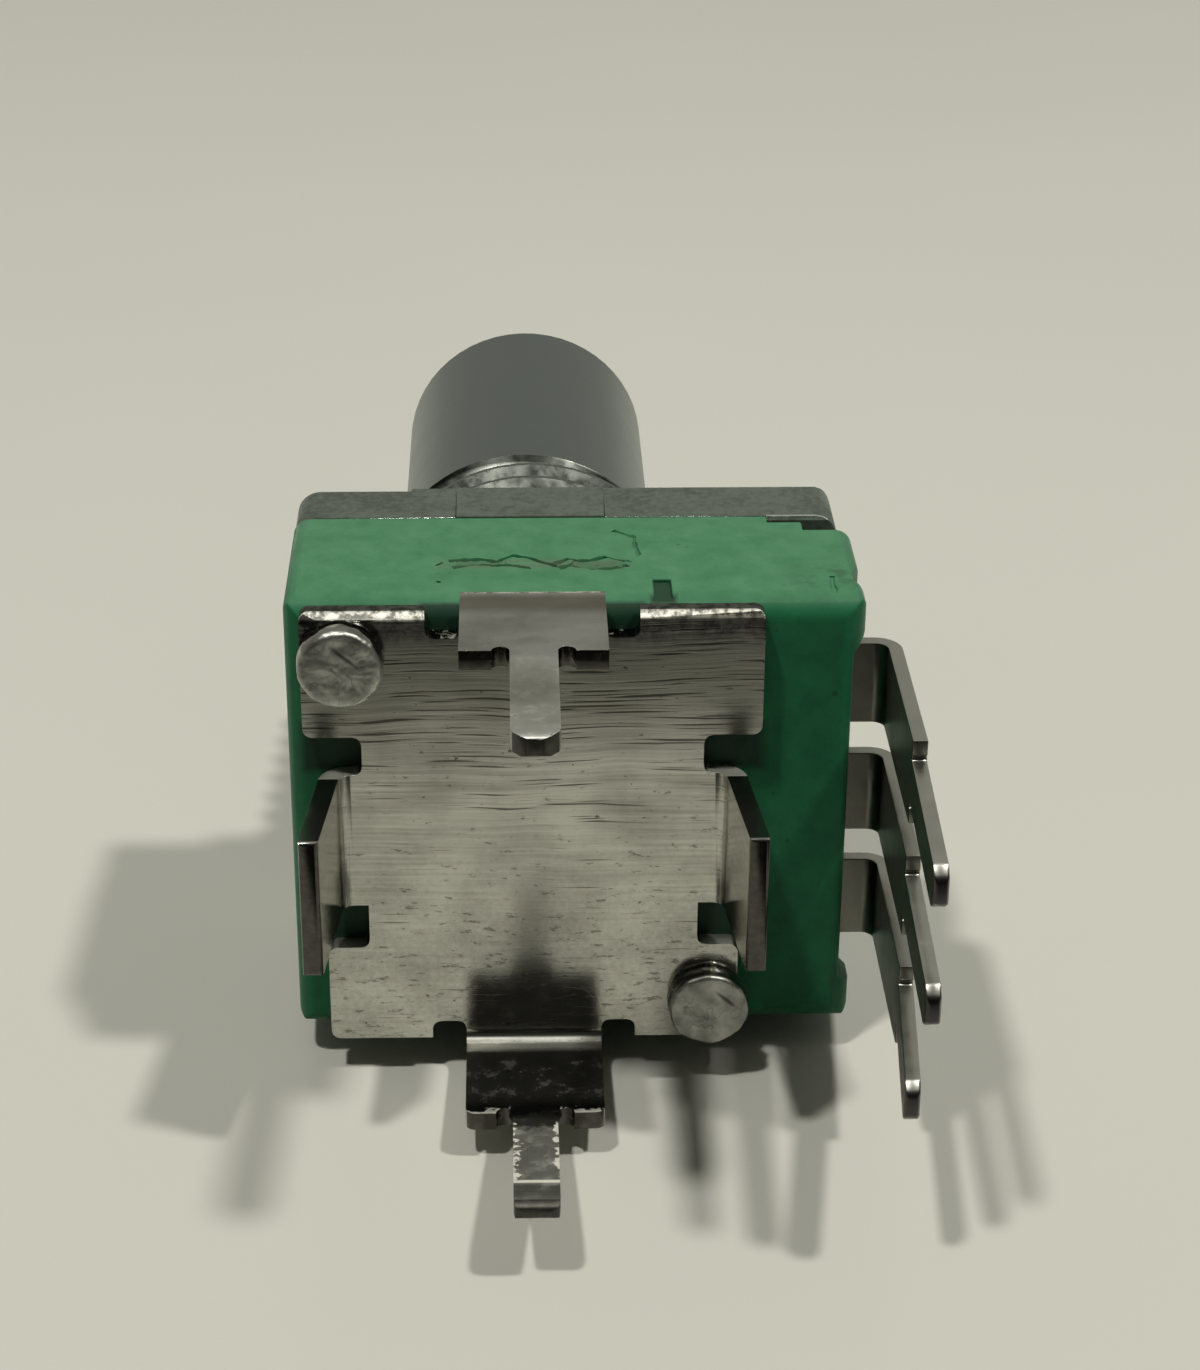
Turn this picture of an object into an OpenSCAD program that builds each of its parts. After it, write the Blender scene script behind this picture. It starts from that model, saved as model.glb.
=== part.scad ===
// Small board-mounted rotary potentiometer, lying on its flat lower side.
// The shaft axis is +Y and the panel face of the front casting is at Y = 0.
// The body and its pins reach rearward to -Y, the three terminals stand on the +X side.

/* [Body] */
// Height of the body across the shaft, from flat side to flat side
body_h = 9.8; // [9.4:0.1:10.6]
// Distance from the shaft axis to the plain side of the body
body_left = 4.9; // [4.7:0.1:5.4]
// Distance from the shaft axis to the casting's edge on the terminal side
body_right = 6.4; // [6.3:0.05:6.9]
// How far the moulded housing stands out past the casting on the terminal side
housing_overhang = 0.2; // [0.1:0.05:0.3]
// Depth from the panel face to the rear of the folded bracket
body_d = 6.3; // [6.2:0.05:7]

/* [Front casting] */
// Thickness of the casting's plate
casting_t = 1.75; // [1.7:0.05:2.2]
// Corner radius of the casting
casting_corner_r = 0.5; // [0.3:0.05:0.8]
// Thickness left in front of the washer pocket
casting_web = 0.7; // [0.6:0.05:0.8]
// Depth of the low strip on the casting's plain side
casting_step = 0.3; // [0.1:0.05:0.45]
// Width of that low strip
casting_step_w = 2.4; // [1:0.1:3]
// Width of the gate pad on the casting's upper edge
gate_pad_w = 3.1; // [2:0.1:4]
// Height of that gate pad
gate_pad_h = 0.1; // [0.05:0.01:0.3]
// Distance from the panel face back to the gate pad
gate_pad_front = 0.35; // [0.1:0.05:0.6]
// Outer diameter of the bushing
bushing_d = 7; // [6.6:0.1:8]
// Length of the bushing in front of the panel face
bushing_l = 5.5; // [4:0.5:9]
// Chamfer at the bushing's mouth
bushing_chamfer = 0.25; // [0.1:0.05:0.4]
// Width of the raised ring round the bushing's foot
foot_ring_w = 0.6; // [0.4:0.1:0.8]
// Diameter of the two cast posts that hold the stack together
post_d = 0.9; // [0.7:0.05:1]
// Diameter of the posts' upset heads
head_d = 1.6; // [1.3:0.05:1.7]
// Height of the upset heads
head_h = 0.5; // [0.3:0.05:0.7]
// Place of the upper post, on the plain side, as X and Z
post_upper = [-3.75, 3.85];
// Place of the lower post, on the terminal side, as X and Z
post_lower = [3.6, -4];

/* [Shaft] */
// Diameter of the shaft in front of the bushing
shaft_d = 6; // [5.6:0.1:6.4]
// Length of the shaft from the panel face
shaft_l = 15; // [12:0.5:30]
// Diameter of the shaft inside the bushing
journal_d = 5; // [4.6:0.1:5.2]
// Chamfer on the shaft's front end
shaft_chamfer = 0.35; // [0.1:0.05:0.6]
// Diameter of the shaft's drive end
drive_d = 3.8; // [3.4:0.1:4]
// Distance across the two flats of the drive end
drive_flats = 3; // [2.6:0.1:3.2]
// Depth of the retaining ring's groove
groove_depth = 0.5; // [0.3:0.05:0.6]

/* [Motion] */
// Full turn of the shaft between its stops, in degrees
turn_range = 280; // [260:5:290]
// Angle that the moving stop takes up, in degrees
stop_tab_angle = 39; // [30:1:45]

/* [Rings] */
// Thickness of the thrust washer
washer_t = 0.15; // [0.1:0.01:0.2]
// Thickness of the retaining ring
ring_t = 0.3; // [0.2:0.02:0.35]
// Radial width of the retaining ring
ring_w = 0.75; // [0.6:0.05:0.8]
// Opening of the retaining ring, in degrees
ring_mouth_angle = 100; // [80:5:130]

/* [Rotor and wiper] */
// Radius of the rotor's rim
rotor_r = 3.9; // [3.7:0.05:3.95]
// Thickness of the rotor's rim
rim_t = 0.45; // [0.35:0.05:0.55]
// Radius of the rotor's hub
hub_r = 2.7; // [2.5:0.05:2.8]
// Thickness of the spring sheet
spring_t = 0.1; // [0.08:0.01:0.12]
// Width of each wiper arm
arm_w = 0.42; // [0.34:0.02:0.46]
// Width of the slit that splits each arm in two fingers
arm_slit = 0.08; // [0.06:0.01:0.1]
// Distance from the contact points up to the spring's root
arm_l = 1.6; // [1.4:0.05:1.8]
// Diameter of the pegs that hold the spring
peg_d = 0.6; // [0.5:0.05:0.7]
// Distance between the two pegs
peg_span = 2.7; // [2.4:0.1:3]
// Distance from the shaft axis to the line through the pegs
peg_y = 2.6; // [2.5:0.05:2.7]
// How far each contact point stands off the rotor
spring_drop = 0.42; // [0.36:0.02:0.46]

/* [Element] */
// Thickness of the element board
board_t = 0.6; // [0.5:0.05:0.65]
// Radius of the board's round part
board_r = 3.98; // [3.9:0.02:4]
// Thickness of the printed films
film_t = 0.04; // [0.03:0.01:0.05]
// Middle radius of the resistive track
track_r = 3.15; // [3.1:0.02:3.2]
// Width of the resistive track
track_w = 0.7; // [0.6:0.02:0.76]
// Middle radius of the collector ring
collector_r = 2.05; // [2:0.02:2.1]
// Width of the collector ring
collector_w = 0.6; // [0.5:0.02:0.66]
// Angle that the resistive track covers, in degrees
track_angle = 300; // [290:2:304]
// Length of each silver end pad along the track, in degrees
end_pad_angle = 8; // [5:1:10]
// Width of the leads from the end pads
pad_lead_w = 0.5; // [0.4:0.05:0.55]
// Width of the lead from the collector ring
collector_lead_w = 0.7; // [0.5:0.05:0.8]
// Radius of the hole in the middle of the board
board_hole_r = 1.3; // [1:0.05:1.5]

/* [Housing] */
// Corner radius of the housing seen from the rear
housing_corner_r = 0.35; // [0.2:0.05:0.5]
// Radius along the housing's rear edges
housing_edge_r = 0.5; // [0.2:0.05:0.6]
// Thickness of the rear flange
flange_t = 0.95; // [0.7:0.05:1]
// Depth of the relief between the flange's corner lobes
flange_relief = 0.25; // [0.1:0.05:0.3]
// Height of each corner lobe
lobe_h = 0.9; // [0.7:0.05:1.1]
// Depth of the waist in the terminal side wall
waist = 0.2; // [0.1:0.05:0.25]
// Depth of the shallow rebate behind the casting
rebate_a = 0.3; // [0.2:0.05:0.4]
// Width of the shallow rebate, from the casting's edge
rebate_a_w = 1.5; // [1:0.1:1.6]
// Depth of the deep rebate at the casting's edge
rebate_b = 0.7; // [0.5:0.05:0.9]
// Width of the deep rebate, from the casting's edge
rebate_b_w = 0.8; // [0.4:0.1:0.9]
// Distance from the axis to the pocket's end wall on the terminal side
pocket_end = 5.7; // [5.6:0.05:5.8]
// Half height of the pocket beside the terminals
pocket_half_h = 3.3; // [3.25:0.01:3.36]
// Width of the small gate recess on the upper side
gate_recess_w = 0.35; // [0.2:0.05:0.6]
// Length of the gate recess along the shaft's direction
gate_recess_l = 0.85; // [0.5:0.05:1]
// Depth of the gate recess
gate_recess_h = 0.1; // [0.05:0.01:0.3]
// Distance from the shaft axis to the gate recess
gate_recess_x = 2.4; // [2:0.1:3]

/* [Terminals] */
// Pitch of the terminals
pitch = 2.5; // [2.45:0.01:2.55]
// Thickness of the terminal strip
terminal_t = 0.3; // [0.24:0.02:0.34]
// Width of the terminal blades
blade_w = 1.8; // [1.5:0.05:1.9]
// Width of the pins that enter the board
pin_w = 0.9; // [0.7:0.05:1]
// Distance from the shaft axis to the middle of the pins
pin_offset = 7.3; // [7.2:0.05:7.8]
// Distance from the bracket's rear face forward to the strips' rear face
strip_forward = 1.55; // [1.5:0.02:1.6]
// Length of the pins below the board plane
pin_l = 3.5; // [2.5:0.1:4.5]
// Inner radius of the bends in strip and sheet
bend_r = 0.25; // [0.15:0.05:0.3]
// Outer diameter of the terminals' drawn eyelets
eyelet_d = 0.8; // [0.7:0.05:0.9]
// Distance from the shaft axis to the eyelets
eyelet_x = 4.85; // [4.8:0.05:4.9]
// Width of the lugs that carry the eyelets
lug_w = 1.3; // [1.2:0.05:1.4]

/* [Bracket] */
// Thickness of the folded sheet
sheet_t = 0.4; // [0.35:0.05:0.5]
// Height from the bracket's rear face to the plane of the circuit board
standoff = 2.7; // [2.2:0.1:3.5]
// Distance between the two legs, middle to middle
leg_span = 10.3; // [10.2:0.1:10.8]
// Width of the legs above the board plane
leg_w = 2.8; // [2.4:0.1:3]
// Half width of the bracket's upper ears
ear_half_w = 4.55; // [4.4:0.05:4.6]
// Half width of the bracket's lower plate
foot_half_w = 4.2; // [4.1:0.05:4.3]
// Distance between the outer faces of the two side wings
wing_span = 8.55; // [8.4:0.05:8.7]
// Depth of the reliefs beside the upper leg's fold
upper_relief = 0.4; // [0.2:0.05:0.5]
// Depth of the reliefs beside the lower leg's fold
lower_relief = 0.2; // [0.1:0.05:0.4]
// Width of those reliefs
relief_w = 0.7; // [0.5:0.05:0.8]

/* [Hidden] */
$fn = 64;

// Clearances
running = 0.03;
seat_gap = 0.02;
fit_gap = 0.03;
turn_gap = 0.15;
pocket_gap = 0.12;
eps = 0.01;
far = 20;

// How far a feature runs into the solid that carries it
root = 0.5;

// Depths behind the panel face
bracket_rear = body_d;
housing_rear = bracket_rear - sheet_t;
strip_rear = bracket_rear - strip_forward;
board_rear = strip_rear - terminal_t;
board_front = board_rear - board_t;
film_front = board_front - film_t;
board_plane = bracket_rear + standoff;
pin_tip = board_plane + pin_l;
washer_front = casting_web;
ring_front = washer_front + washer_t + seat_gap;
ring_rear = ring_front + ring_t;
hub_front = ring_rear + 0.1;
drive_rise = 0.15;
rotor_rear = film_front - seat_gap - spring_drop - spring_t;
rim_front = rotor_rear - rim_t;
stop_floor = casting_t - 0.5;
shoulder_front = bushing_l + 0.05;
flange_front = housing_rear - flange_t;
gate_recess_rear = housing_rear - 0.2;

// Radii and half sizes
bore_r = journal_d / 2 + running;
groove_r = journal_d / 2 - groove_depth;
ring_in_r = groove_r + running;
ring_out_r = ring_in_r + ring_w;
washer_pocket_r = ring_out_r + pocket_gap;
cavity_r = board_r + pocket_gap;
foot_ring_r = bushing_d / 2 + foot_ring_w;
casting_edge_r = 0.25;
head_edge = 0.08;
collar_relief = 0.1;
housing_right = body_right + housing_overhang;
half_h = body_h / 2;
fixed_stop_angle = 360 - turn_range - stop_tab_angle - 0.5;
flare_t = 0.1;
flare_d = eyelet_d + 4 * flare_t;
lug_l = 0.8;
pad_lead_near = 0.8;
pad_lead_far = pitch + 0.3;
pin_chamfer = 0.25;
pin_tip_in = 0.2;

// Bracket outline, from the axis
ear_top = half_h - 0.05;
foot_bottom = half_h;
leg_out = leg_span / 2 + sheet_t / 2;
leg_fold = leg_out - sheet_t - bend_r;
wing_out = wing_span / 2;
wing_fold = wing_out - sheet_t - bend_r;
wing_top = 1.3;
wing_bottom = -1.7;
side_notch_top = 2.15;
side_notch_x = 3.4;
lower_notch_bottom = -2.7;
lower_notch_x = 3.35;
sheet_corner_r = 0.2;

// Turns a shape drawn with Z as depth behind the panel face into the part's frame
module behind_panel() {
  rotate([90, 0, 0]) children();
}

// Flat shape with rounded corners between two opposite corners
module round_rect(x0, y0, x1, y1, r) {
  translate([x0 + r, y0]) square([x1 - x0 - 2 * r, y1 - y0]);
  translate([x0, y0 + r]) square([x1 - x0, y1 - y0 - 2 * r]);
  for (x = [x0 + r, x1 - r], y = [y0 + r, y1 - r])
    translate([x, y]) circle(r);
}

// Slab of a flat shape between two depths
module slab(z0, z1) {
  translate([0, 0, z0]) linear_extrude(z1 - z0) children();
}

// Flat ring
module ring2d(r_in, r_out) {
  difference() {
    circle(r_out);
    circle(r_in);
  }
}

// Wedge that starts at the axis, middle direction and full angle in degrees
module wedge2d(middle, angle, r) {
  steps = 1 + ceil(angle / 60);
  reach = r / cos(angle / steps / 2) + 1;
  polygon([[0, 0],
    for (i = [0 : steps]) reach * [cos(middle - angle / 2 + i * angle / steps),
      sin(middle - angle / 2 + i * angle / steps)]]);
}

// Sector of a flat ring
module sector2d(r_in, r_out, middle, angle) {
  intersection() {
    ring2d(r_in, r_out);
    wedge2d(middle, angle, r_out);
  }
}

// Section of a sheet folded rearward: U is outward, V is rearward from the sheet's rear face
module fold_section(u_out, t, length) {
  translate([u_out - t - bend_r, bend_r]) intersection() {
    ring2d(bend_r, bend_r + t);
    translate([0, -bend_r - t]) square(bend_r + t);
  }
  translate([u_out - t, bend_r - eps]) square([t, length - bend_r + eps]);
}

// Shaft section between two flats
module drive2d(gap) {
  intersection() {
    circle(drive_d / 2 + gap);
    square([far, drive_flats + 2 * gap], center = true);
  }
}

// Two places of the cast posts
module at_posts() {
  for (p = [post_upper, post_lower])
    translate([p[0], p[1], 0]) children();
}

// Three places of the terminals, the upper one first
function terminal_y(i) = (1 - i) * pitch;

// Outline of a pin with shoulders, rearward along V and centred on the V axis
module pin_outline(w_blade, v_start, relief_r) {
  difference() {
    translate([-w_blade / 2, v_start]) square([w_blade, board_plane - v_start]);
    for (s = [-1, 1])
      translate([s * (pin_w / 2 + relief_r), board_plane]) circle(relief_r);
  }
  polygon([[-pin_w / 2, board_plane - root], [pin_w / 2, board_plane - root],
    [pin_w / 2, pin_tip - pin_chamfer], [pin_w / 2 - pin_tip_in, pin_tip],
    [-pin_w / 2 + pin_tip_in, pin_tip], [-pin_w / 2, pin_tip - pin_chamfer]]);
}

// Plate of the casting with soft front edges and a low strip on its plain side
module casting_plate() {
  difference() {
    intersection() {
      slab(0, casting_t) round_rect(-body_left, -half_h, body_right, half_h, casting_corner_r);
      rotate([90, 0, 90]) translate([0, 0, -far]) linear_extrude(2 * far)
        round_rect(-half_h, 0, half_h, casting_t + root, casting_edge_r);
      rotate([90, 0, 0]) translate([0, 0, -far]) linear_extrude(2 * far)
        round_rect(-body_left, 0, body_right, casting_t + root, casting_edge_r);
    }
    // The low strip stops short of the raised ring round the bushing's foot
    slab(-root, casting_step) difference() {
      translate([-body_left - root, -body_h]) square([casting_step_w + root, 2 * body_h]);
      circle(foot_ring_r);
    }
  }
}

// Die-cast front: plate, bushing, stop and the two upset posts
module front_casting() {
  color("#6A6C68") behind_panel() difference() {
    union() {
      casting_plate();
      // Gate pad on the upper edge
      slab(gate_pad_front, casting_t) translate([-gate_pad_w / 2, half_h - root])
        square([gate_pad_w, root + gate_pad_h]);
      // Bushing with a chamfered mouth
      rotate_extrude() polygon([[0, -bushing_l], [bushing_d / 2 - bushing_chamfer, -bushing_l],
        [bushing_d / 2, -bushing_l + bushing_chamfer], [bushing_d / 2, root], [0, root]]);
      // Posts through the housing and the bracket, with upset heads
      at_posts() rotate_extrude() polygon([[0, casting_t - root], [post_d / 2, casting_t - root],
        [post_d / 2, bracket_rear], [head_d / 2 - head_edge, bracket_rear],
        [head_d / 2, bracket_rear + head_edge], [head_d / 2, bracket_rear + head_h - head_edge],
        [head_d / 2 - head_edge, bracket_rear + head_h], [0, bracket_rear + head_h]]);
    }
    // Shaft bore
    slab(-far, far) circle(bore_r);
    // Washer pocket, then the shallow recess that clears the moving stop
    translate([0, 0, washer_front]) cylinder(r = washer_pocket_r, h = casting_t);
    difference() {
      translate([0, 0, stop_floor]) cylinder(r = cavity_r, h = casting_t);
      slab(0, casting_t) sector2d(hub_r + turn_gap, cavity_r + root, 0, fixed_stop_angle);
    }
  }
  // Fixed stop that stands into the housing
  color("#6A6C68") behind_panel() slab(stop_floor - eps, rim_front - turn_gap)
    sector2d(hub_r + turn_gap, cavity_r - fit_gap, 0, fixed_stop_angle);
}

// Turned shaft: plain front, journal with a ring groove, flattened drive end
module control_shaft() {
  color("#747A76") behind_panel() {
    rotate_extrude() polygon([[0, -shaft_l], [shaft_d / 2 - shaft_chamfer, -shaft_l],
      [shaft_d / 2, -shaft_l + shaft_chamfer], [shaft_d / 2, -shoulder_front],
      [journal_d / 2, -shoulder_front], [journal_d / 2, ring_front - seat_gap],
      [groove_r, ring_front - seat_gap], [groove_r, ring_rear + seat_gap],
      [journal_d / 2 - collar_relief, ring_rear + seat_gap],
      [journal_d / 2 - collar_relief, hub_front - seat_gap], [0, hub_front - seat_gap]]);
    slab(hub_front - root, rotor_rear + drive_rise) drive2d(0);
  }
}

// Thin thrust washer at the bottom of the casting's pocket
module thrust_washer() {
  color("#C9B98A") behind_panel() slab(washer_front, washer_front + washer_t)
    ring2d(journal_d / 2 + running + seat_gap, ring_out_r);
}

// Open retaining ring in the shaft's groove
module retaining_ring() {
  color("#8C8F92") behind_panel() slab(ring_front, ring_rear) difference() {
    ring2d(ring_in_r, ring_out_r);
    wedge2d(90, ring_mouth_angle, ring_out_r);
  }
}

// Two places of the rotor's pegs
module at_pegs() {
  for (s = [-1, 1])
    translate([s * peg_span / 2, peg_y]) children();
}

// Moulded rotor on the drive end, with the moving stop and two pegs for the spring
module rotor() {
  color("#E4E0D2") behind_panel() difference() {
    union() {
      slab(hub_front, rotor_rear) circle(hub_r);
      slab(rim_front, rotor_rear) circle(rotor_r);
      slab(hub_front + fit_gap, rotor_rear) sector2d(hub_r - root, rotor_r, 180, stop_tab_angle);
      slab(rotor_rear - eps, rotor_rear + 2 * spring_t) at_pegs() circle(d = peg_d, $fn = 32);
    }
    slab(0, far) drive2d(seat_gap);
  }
}

// Side view of one wiper arm: U runs from the contact point to the root, V is rearward
module arm_section() {
  toe = [-0.3, spring_drop - 0.1];
  polygon([toe, [0, spring_drop], [arm_l, 0], [arm_l + root, 0],
    [arm_l + root, spring_t], [arm_l, spring_t], [0, spring_drop + spring_t],
    toe + [0, spring_t]]);
}

// One arm with two fingers at the given radius
module wiper_arm(r) {
  finger_w = (arm_w - arm_slit) / 2;
  for (s = [-1, 1])
    translate([-r + s * (finger_w + arm_slit) / 2, 0, rotor_rear]) rotate([90, 0, 90])
      translate([0, 0, -finger_w / 2]) linear_extrude(finger_w) arm_section();
}

// Stamped spring: a crescent on the rotor and two split arms to the tracks
module wiper_spring() {
  color("#C08A4E") behind_panel() {
    slab(rotor_rear, rotor_rear + spring_t) difference() {
      intersection() {
        circle(rotor_r - spring_t);
        translate([-far / 2, arm_l + spring_t]) square([far, far]);
      }
      at_pegs() circle(peg_d / 2 + seat_gap);
    }
    wiper_arm(track_r);
    wiper_arm(collector_r);
  }
}

// Pocket outline that holds the board
module board_outline(gap) {
  circle(board_r + gap);
  board_half_h = pocket_half_h - pocket_gap + gap;
  translate([0, -board_half_h]) square([pocket_end - pocket_gap + gap, 2 * board_half_h]);
}

// Moulded housing: side walls, floor under the board, rear flange with corner lobes
module housing() {
  right = housing_right;
  color("#3F7A55") behind_panel() difference() {
    intersection() {
      slab(casting_t, housing_rear)
        round_rect(-body_left, -half_h, right, half_h, housing_corner_r);
      // Rounded rear edges along the upper and lower sides
      rotate([90, 0, 90]) translate([0, 0, -far]) linear_extrude(2 * far)
        round_rect(-half_h, 0, half_h, housing_rear, housing_edge_r);
      // Rounded rear edges along the ends, and the waist in the terminal side
      rotate([90, 0, 0]) translate([0, 0, -far]) linear_extrude(2 * far) difference() {
        round_rect(-body_left, 0, right, housing_rear, housing_edge_r);
        polygon([[right + 1, flange_front - 1.3], [right, flange_front - 1.1],
          [right - waist, flange_front - 0.4], [right - waist, flange_front - 0.1],
          [right, flange_front + 0.05], [right + 1, flange_front + 0.05]]);
      }
    }
    // Relief between the flange's corner lobes
    slab(flange_front - 0.2, far) polygon([
      [right + 1, half_h - lobe_h], [right, half_h - lobe_h],
      [right - flange_relief, half_h - lobe_h - 0.35], [right - flange_relief, -half_h + lobe_h + 0.2],
      [right, -half_h + lobe_h], [right + 1, -half_h + lobe_h]]);
    // Pocket for the rotor and the board
    slab(0, board_rear) board_outline(pocket_gap);
    // Stepped rebate behind the casting on the terminal side
    slab(0, casting_t + rebate_a) translate([body_right - rebate_a_w, -far]) square([far, 2 * far]);
    slab(0, casting_t + rebate_b) translate([body_right - rebate_b_w, -far]) square([far, 2 * far]);
    // Terminal slots in the floor and the side wall
    for (i = [0 : 2])
      translate([eyelet_x - lug_w, terminal_y(i) - blade_w / 2 - seat_gap, board_rear - seat_gap])
        cube([far, blade_w + 2 * seat_gap, terminal_t + 2 * seat_gap]);
    // Holes for the cast posts
    slab(0, far) at_posts() circle(post_d / 2 + fit_gap);
    // Small gate recess on the upper side
    slab(gate_recess_rear - gate_recess_l, gate_recess_rear)
      translate([gate_recess_x, half_h - gate_recess_h]) square([gate_recess_w, root]);
  }
}

// Insulating board that carries the printed films
module element_board() {
  color("#A97B45") behind_panel() slab(board_front, board_rear) difference() {
    board_outline(0);
    circle(board_hole_r);
    for (i = [0 : 2])
      translate([eyelet_x, terminal_y(i)]) circle(eyelet_d / 2 + seat_gap);
  }
}

// Carbon film, an open ring whose gap faces the terminals
module resistive_track() {
  color("#1F1F20") behind_panel() slab(film_front, board_front)
    sector2d(track_r - track_w / 2, track_r + track_w / 2, 180, track_angle);
}

// Silver film under the inner wiper, with its lead to the middle terminal
module collector_ring() {
  color("#B9BBBD") behind_panel() slab(film_front, board_front) difference() {
    union() {
      ring2d(collector_r - collector_w / 2, collector_r + collector_w / 2);
      translate([collector_r, -collector_lead_w / 2]) square([eyelet_x - collector_r, collector_lead_w]);
      translate([eyelet_x, 0]) circle(flare_d / 2 + film_t);
    }
    translate([eyelet_x, 0]) circle(eyelet_d / 2 + seat_gap);
  }
}

// Silver end of the carbon track, with its lead to an outer terminal
module end_pad(side) {
  start = (360 - track_angle) / 2;
  direction = side * (start - end_pad_angle / 2);
  color("#B9BBBD") behind_panel() slab(film_front, board_front) difference() {
    union() {
      sector2d(track_r - track_w / 2, track_r + track_w / 2, direction, end_pad_angle);
      intersection() {
        rotate(direction) translate([track_r, -pad_lead_w / 2]) square([eyelet_x, pad_lead_w]);
        translate([0, side > 0 ? pad_lead_near : -pad_lead_far])
          square([eyelet_x, pad_lead_far - pad_lead_near]);
      }
      translate([eyelet_x, side * pitch]) circle(flare_d / 2 + film_t);
    }
    translate([eyelet_x, side * pitch]) circle(eyelet_d / 2 + seat_gap);
  }
}

// Stamped terminal: lug and eyelet under the board, strip out of the housing, fold, blade and pin
module terminal(i) {
  x_out = pin_offset + terminal_t / 2;
  color("#8E8F8B") behind_panel() translate([0, terminal_y(i), 0]) difference() {
    union() {
      // Lug with a rounded end, then the full strip up to the fold
      slab(board_rear, strip_rear) {
        translate([eyelet_x, 0]) circle(lug_w / 2);
        translate([eyelet_x, -lug_w / 2]) square([lug_l + eps, lug_w]);
        translate([eyelet_x + lug_l, -blade_w / 2])
          square([x_out - terminal_t - bend_r - eyelet_x - lug_l + eps, blade_w]);
      }
      // Fold, blade and pin
      intersection() {
        rotate([90, 0, 0]) translate([0, strip_rear, -far]) linear_extrude(2 * far)
          fold_section(x_out, terminal_t, pin_tip - strip_rear);
        rotate([90, 0, 90]) translate([0, 0, -far]) linear_extrude(2 * far)
          pin_outline(blade_w, strip_rear - 1, 0.06);
      }
      // Drawn eyelet through the board, flared on its film
      slab(film_front - flare_t, board_rear + eps) translate([eyelet_x, 0]) circle(d = eyelet_d);
      slab(film_front - flare_t, film_front) translate([eyelet_x, 0]) circle(d = flare_d);
    }
    slab(0, far) translate([eyelet_x, 0]) circle(d = eyelet_d - 3 * flare_t);
  }
}

// One leg of the bracket, folded rearward past the body, with its pin
module bracket_leg() {
  intersection() {
    rotate([90, 0, 90]) translate([0, bracket_rear, -far]) linear_extrude(2 * far)
      fold_section(leg_out, sheet_t, board_plane + pin_l - bracket_rear);
    rotate([90, 0, 0]) translate([0, 0, -far]) linear_extrude(2 * far)
      pin_outline(leg_w, housing_rear - 1, 0.17);
  }
}

// Outline of the bracket's flat part
module bracket_outline() {
  round_rect(-ear_half_w, side_notch_top, ear_half_w, ear_top, sheet_corner_r);
  translate([-side_notch_x, wing_top - sheet_corner_r])
    square([2 * side_notch_x, side_notch_top - wing_top + 2 * sheet_corner_r]);
  translate([-wing_fold, wing_bottom]) square([2 * wing_fold, wing_top - wing_bottom]);
  translate([-lower_notch_x, lower_notch_bottom - sheet_corner_r])
    square([2 * lower_notch_x, wing_bottom - lower_notch_bottom + 2 * sheet_corner_r]);
  round_rect(-foot_half_w, -foot_bottom, foot_half_w, lower_notch_bottom, sheet_corner_r);
  // Tab that runs from fold to fold and carries the two legs
  translate([-leg_w / 2, -leg_fold]) square([leg_w, 2 * leg_fold]);
}

// Folded rear bracket: ears, two side wings, two legs with pins
module rear_bracket() {
  color("#9A9890") behind_panel() {
    slab(housing_rear, bracket_rear) difference() {
      bracket_outline();
      at_posts() circle(post_d / 2 + fit_gap);
      // The plate ends where the legs fold, with a relief on each side of a leg
      for (s = [0, 1])
        mirror([0, s]) {
          relief = s == 0 ? upper_relief : lower_relief;
          translate([-leg_w / 2 - eps, leg_fold]) square([leg_w + 2 * eps, far]);
          for (m = [-1, 1])
            translate([m * (leg_w + relief_w) / 2 - relief_w / 2, leg_fold - relief]) square([relief_w, far]);
        }
    }
    for (s = [0, 1]) {
      mirror([0, s, 0]) bracket_leg();
      mirror([s, 0, 0]) rotate([90, 0, 0]) translate([0, bracket_rear, -wing_top])
        linear_extrude(wing_top - wing_bottom) fold_section(wing_out, sheet_t, standoff);
    }
  }
}

front_casting();
control_shaft();
thrust_washer();
retaining_ring();
rotor();
wiper_spring();
housing();
element_board();
resistive_track();
collector_ring();
end_pad(1);  // end_pad_upper
end_pad(-1);  // end_pad_lower
terminal(0);  // terminal_upper
terminal(1);  // terminal_middle
terminal(2);  // terminal_lower
rear_bracket();
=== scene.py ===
"""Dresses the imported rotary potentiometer: finished metal and moulded surfaces, the bushing's
thread, the upset post heads, and a plain pale table with the camera at the reference angle."""

import math
import random
from types import SimpleNamespace

import bpy
from mathutils import Matrix, Vector


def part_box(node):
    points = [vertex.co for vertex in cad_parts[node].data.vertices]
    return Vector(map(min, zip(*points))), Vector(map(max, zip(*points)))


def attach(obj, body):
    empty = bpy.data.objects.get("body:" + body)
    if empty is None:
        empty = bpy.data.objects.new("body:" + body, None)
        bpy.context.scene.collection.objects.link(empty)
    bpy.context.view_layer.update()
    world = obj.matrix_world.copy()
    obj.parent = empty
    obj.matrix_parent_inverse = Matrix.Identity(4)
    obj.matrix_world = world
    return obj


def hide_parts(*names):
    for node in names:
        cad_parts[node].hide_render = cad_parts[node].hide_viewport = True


bl_info = {
    "name": "Rotary potentiometer dressing",
    "version": (1, 0, 0),
    "blender": (4, 5, 0),
    "location": "3D View > Sidebar > Potentiometer",
    "description": "Finishes a packed board-mounted rotary potentiometer and sets it on a table",
    "category": "Object",
}

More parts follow.
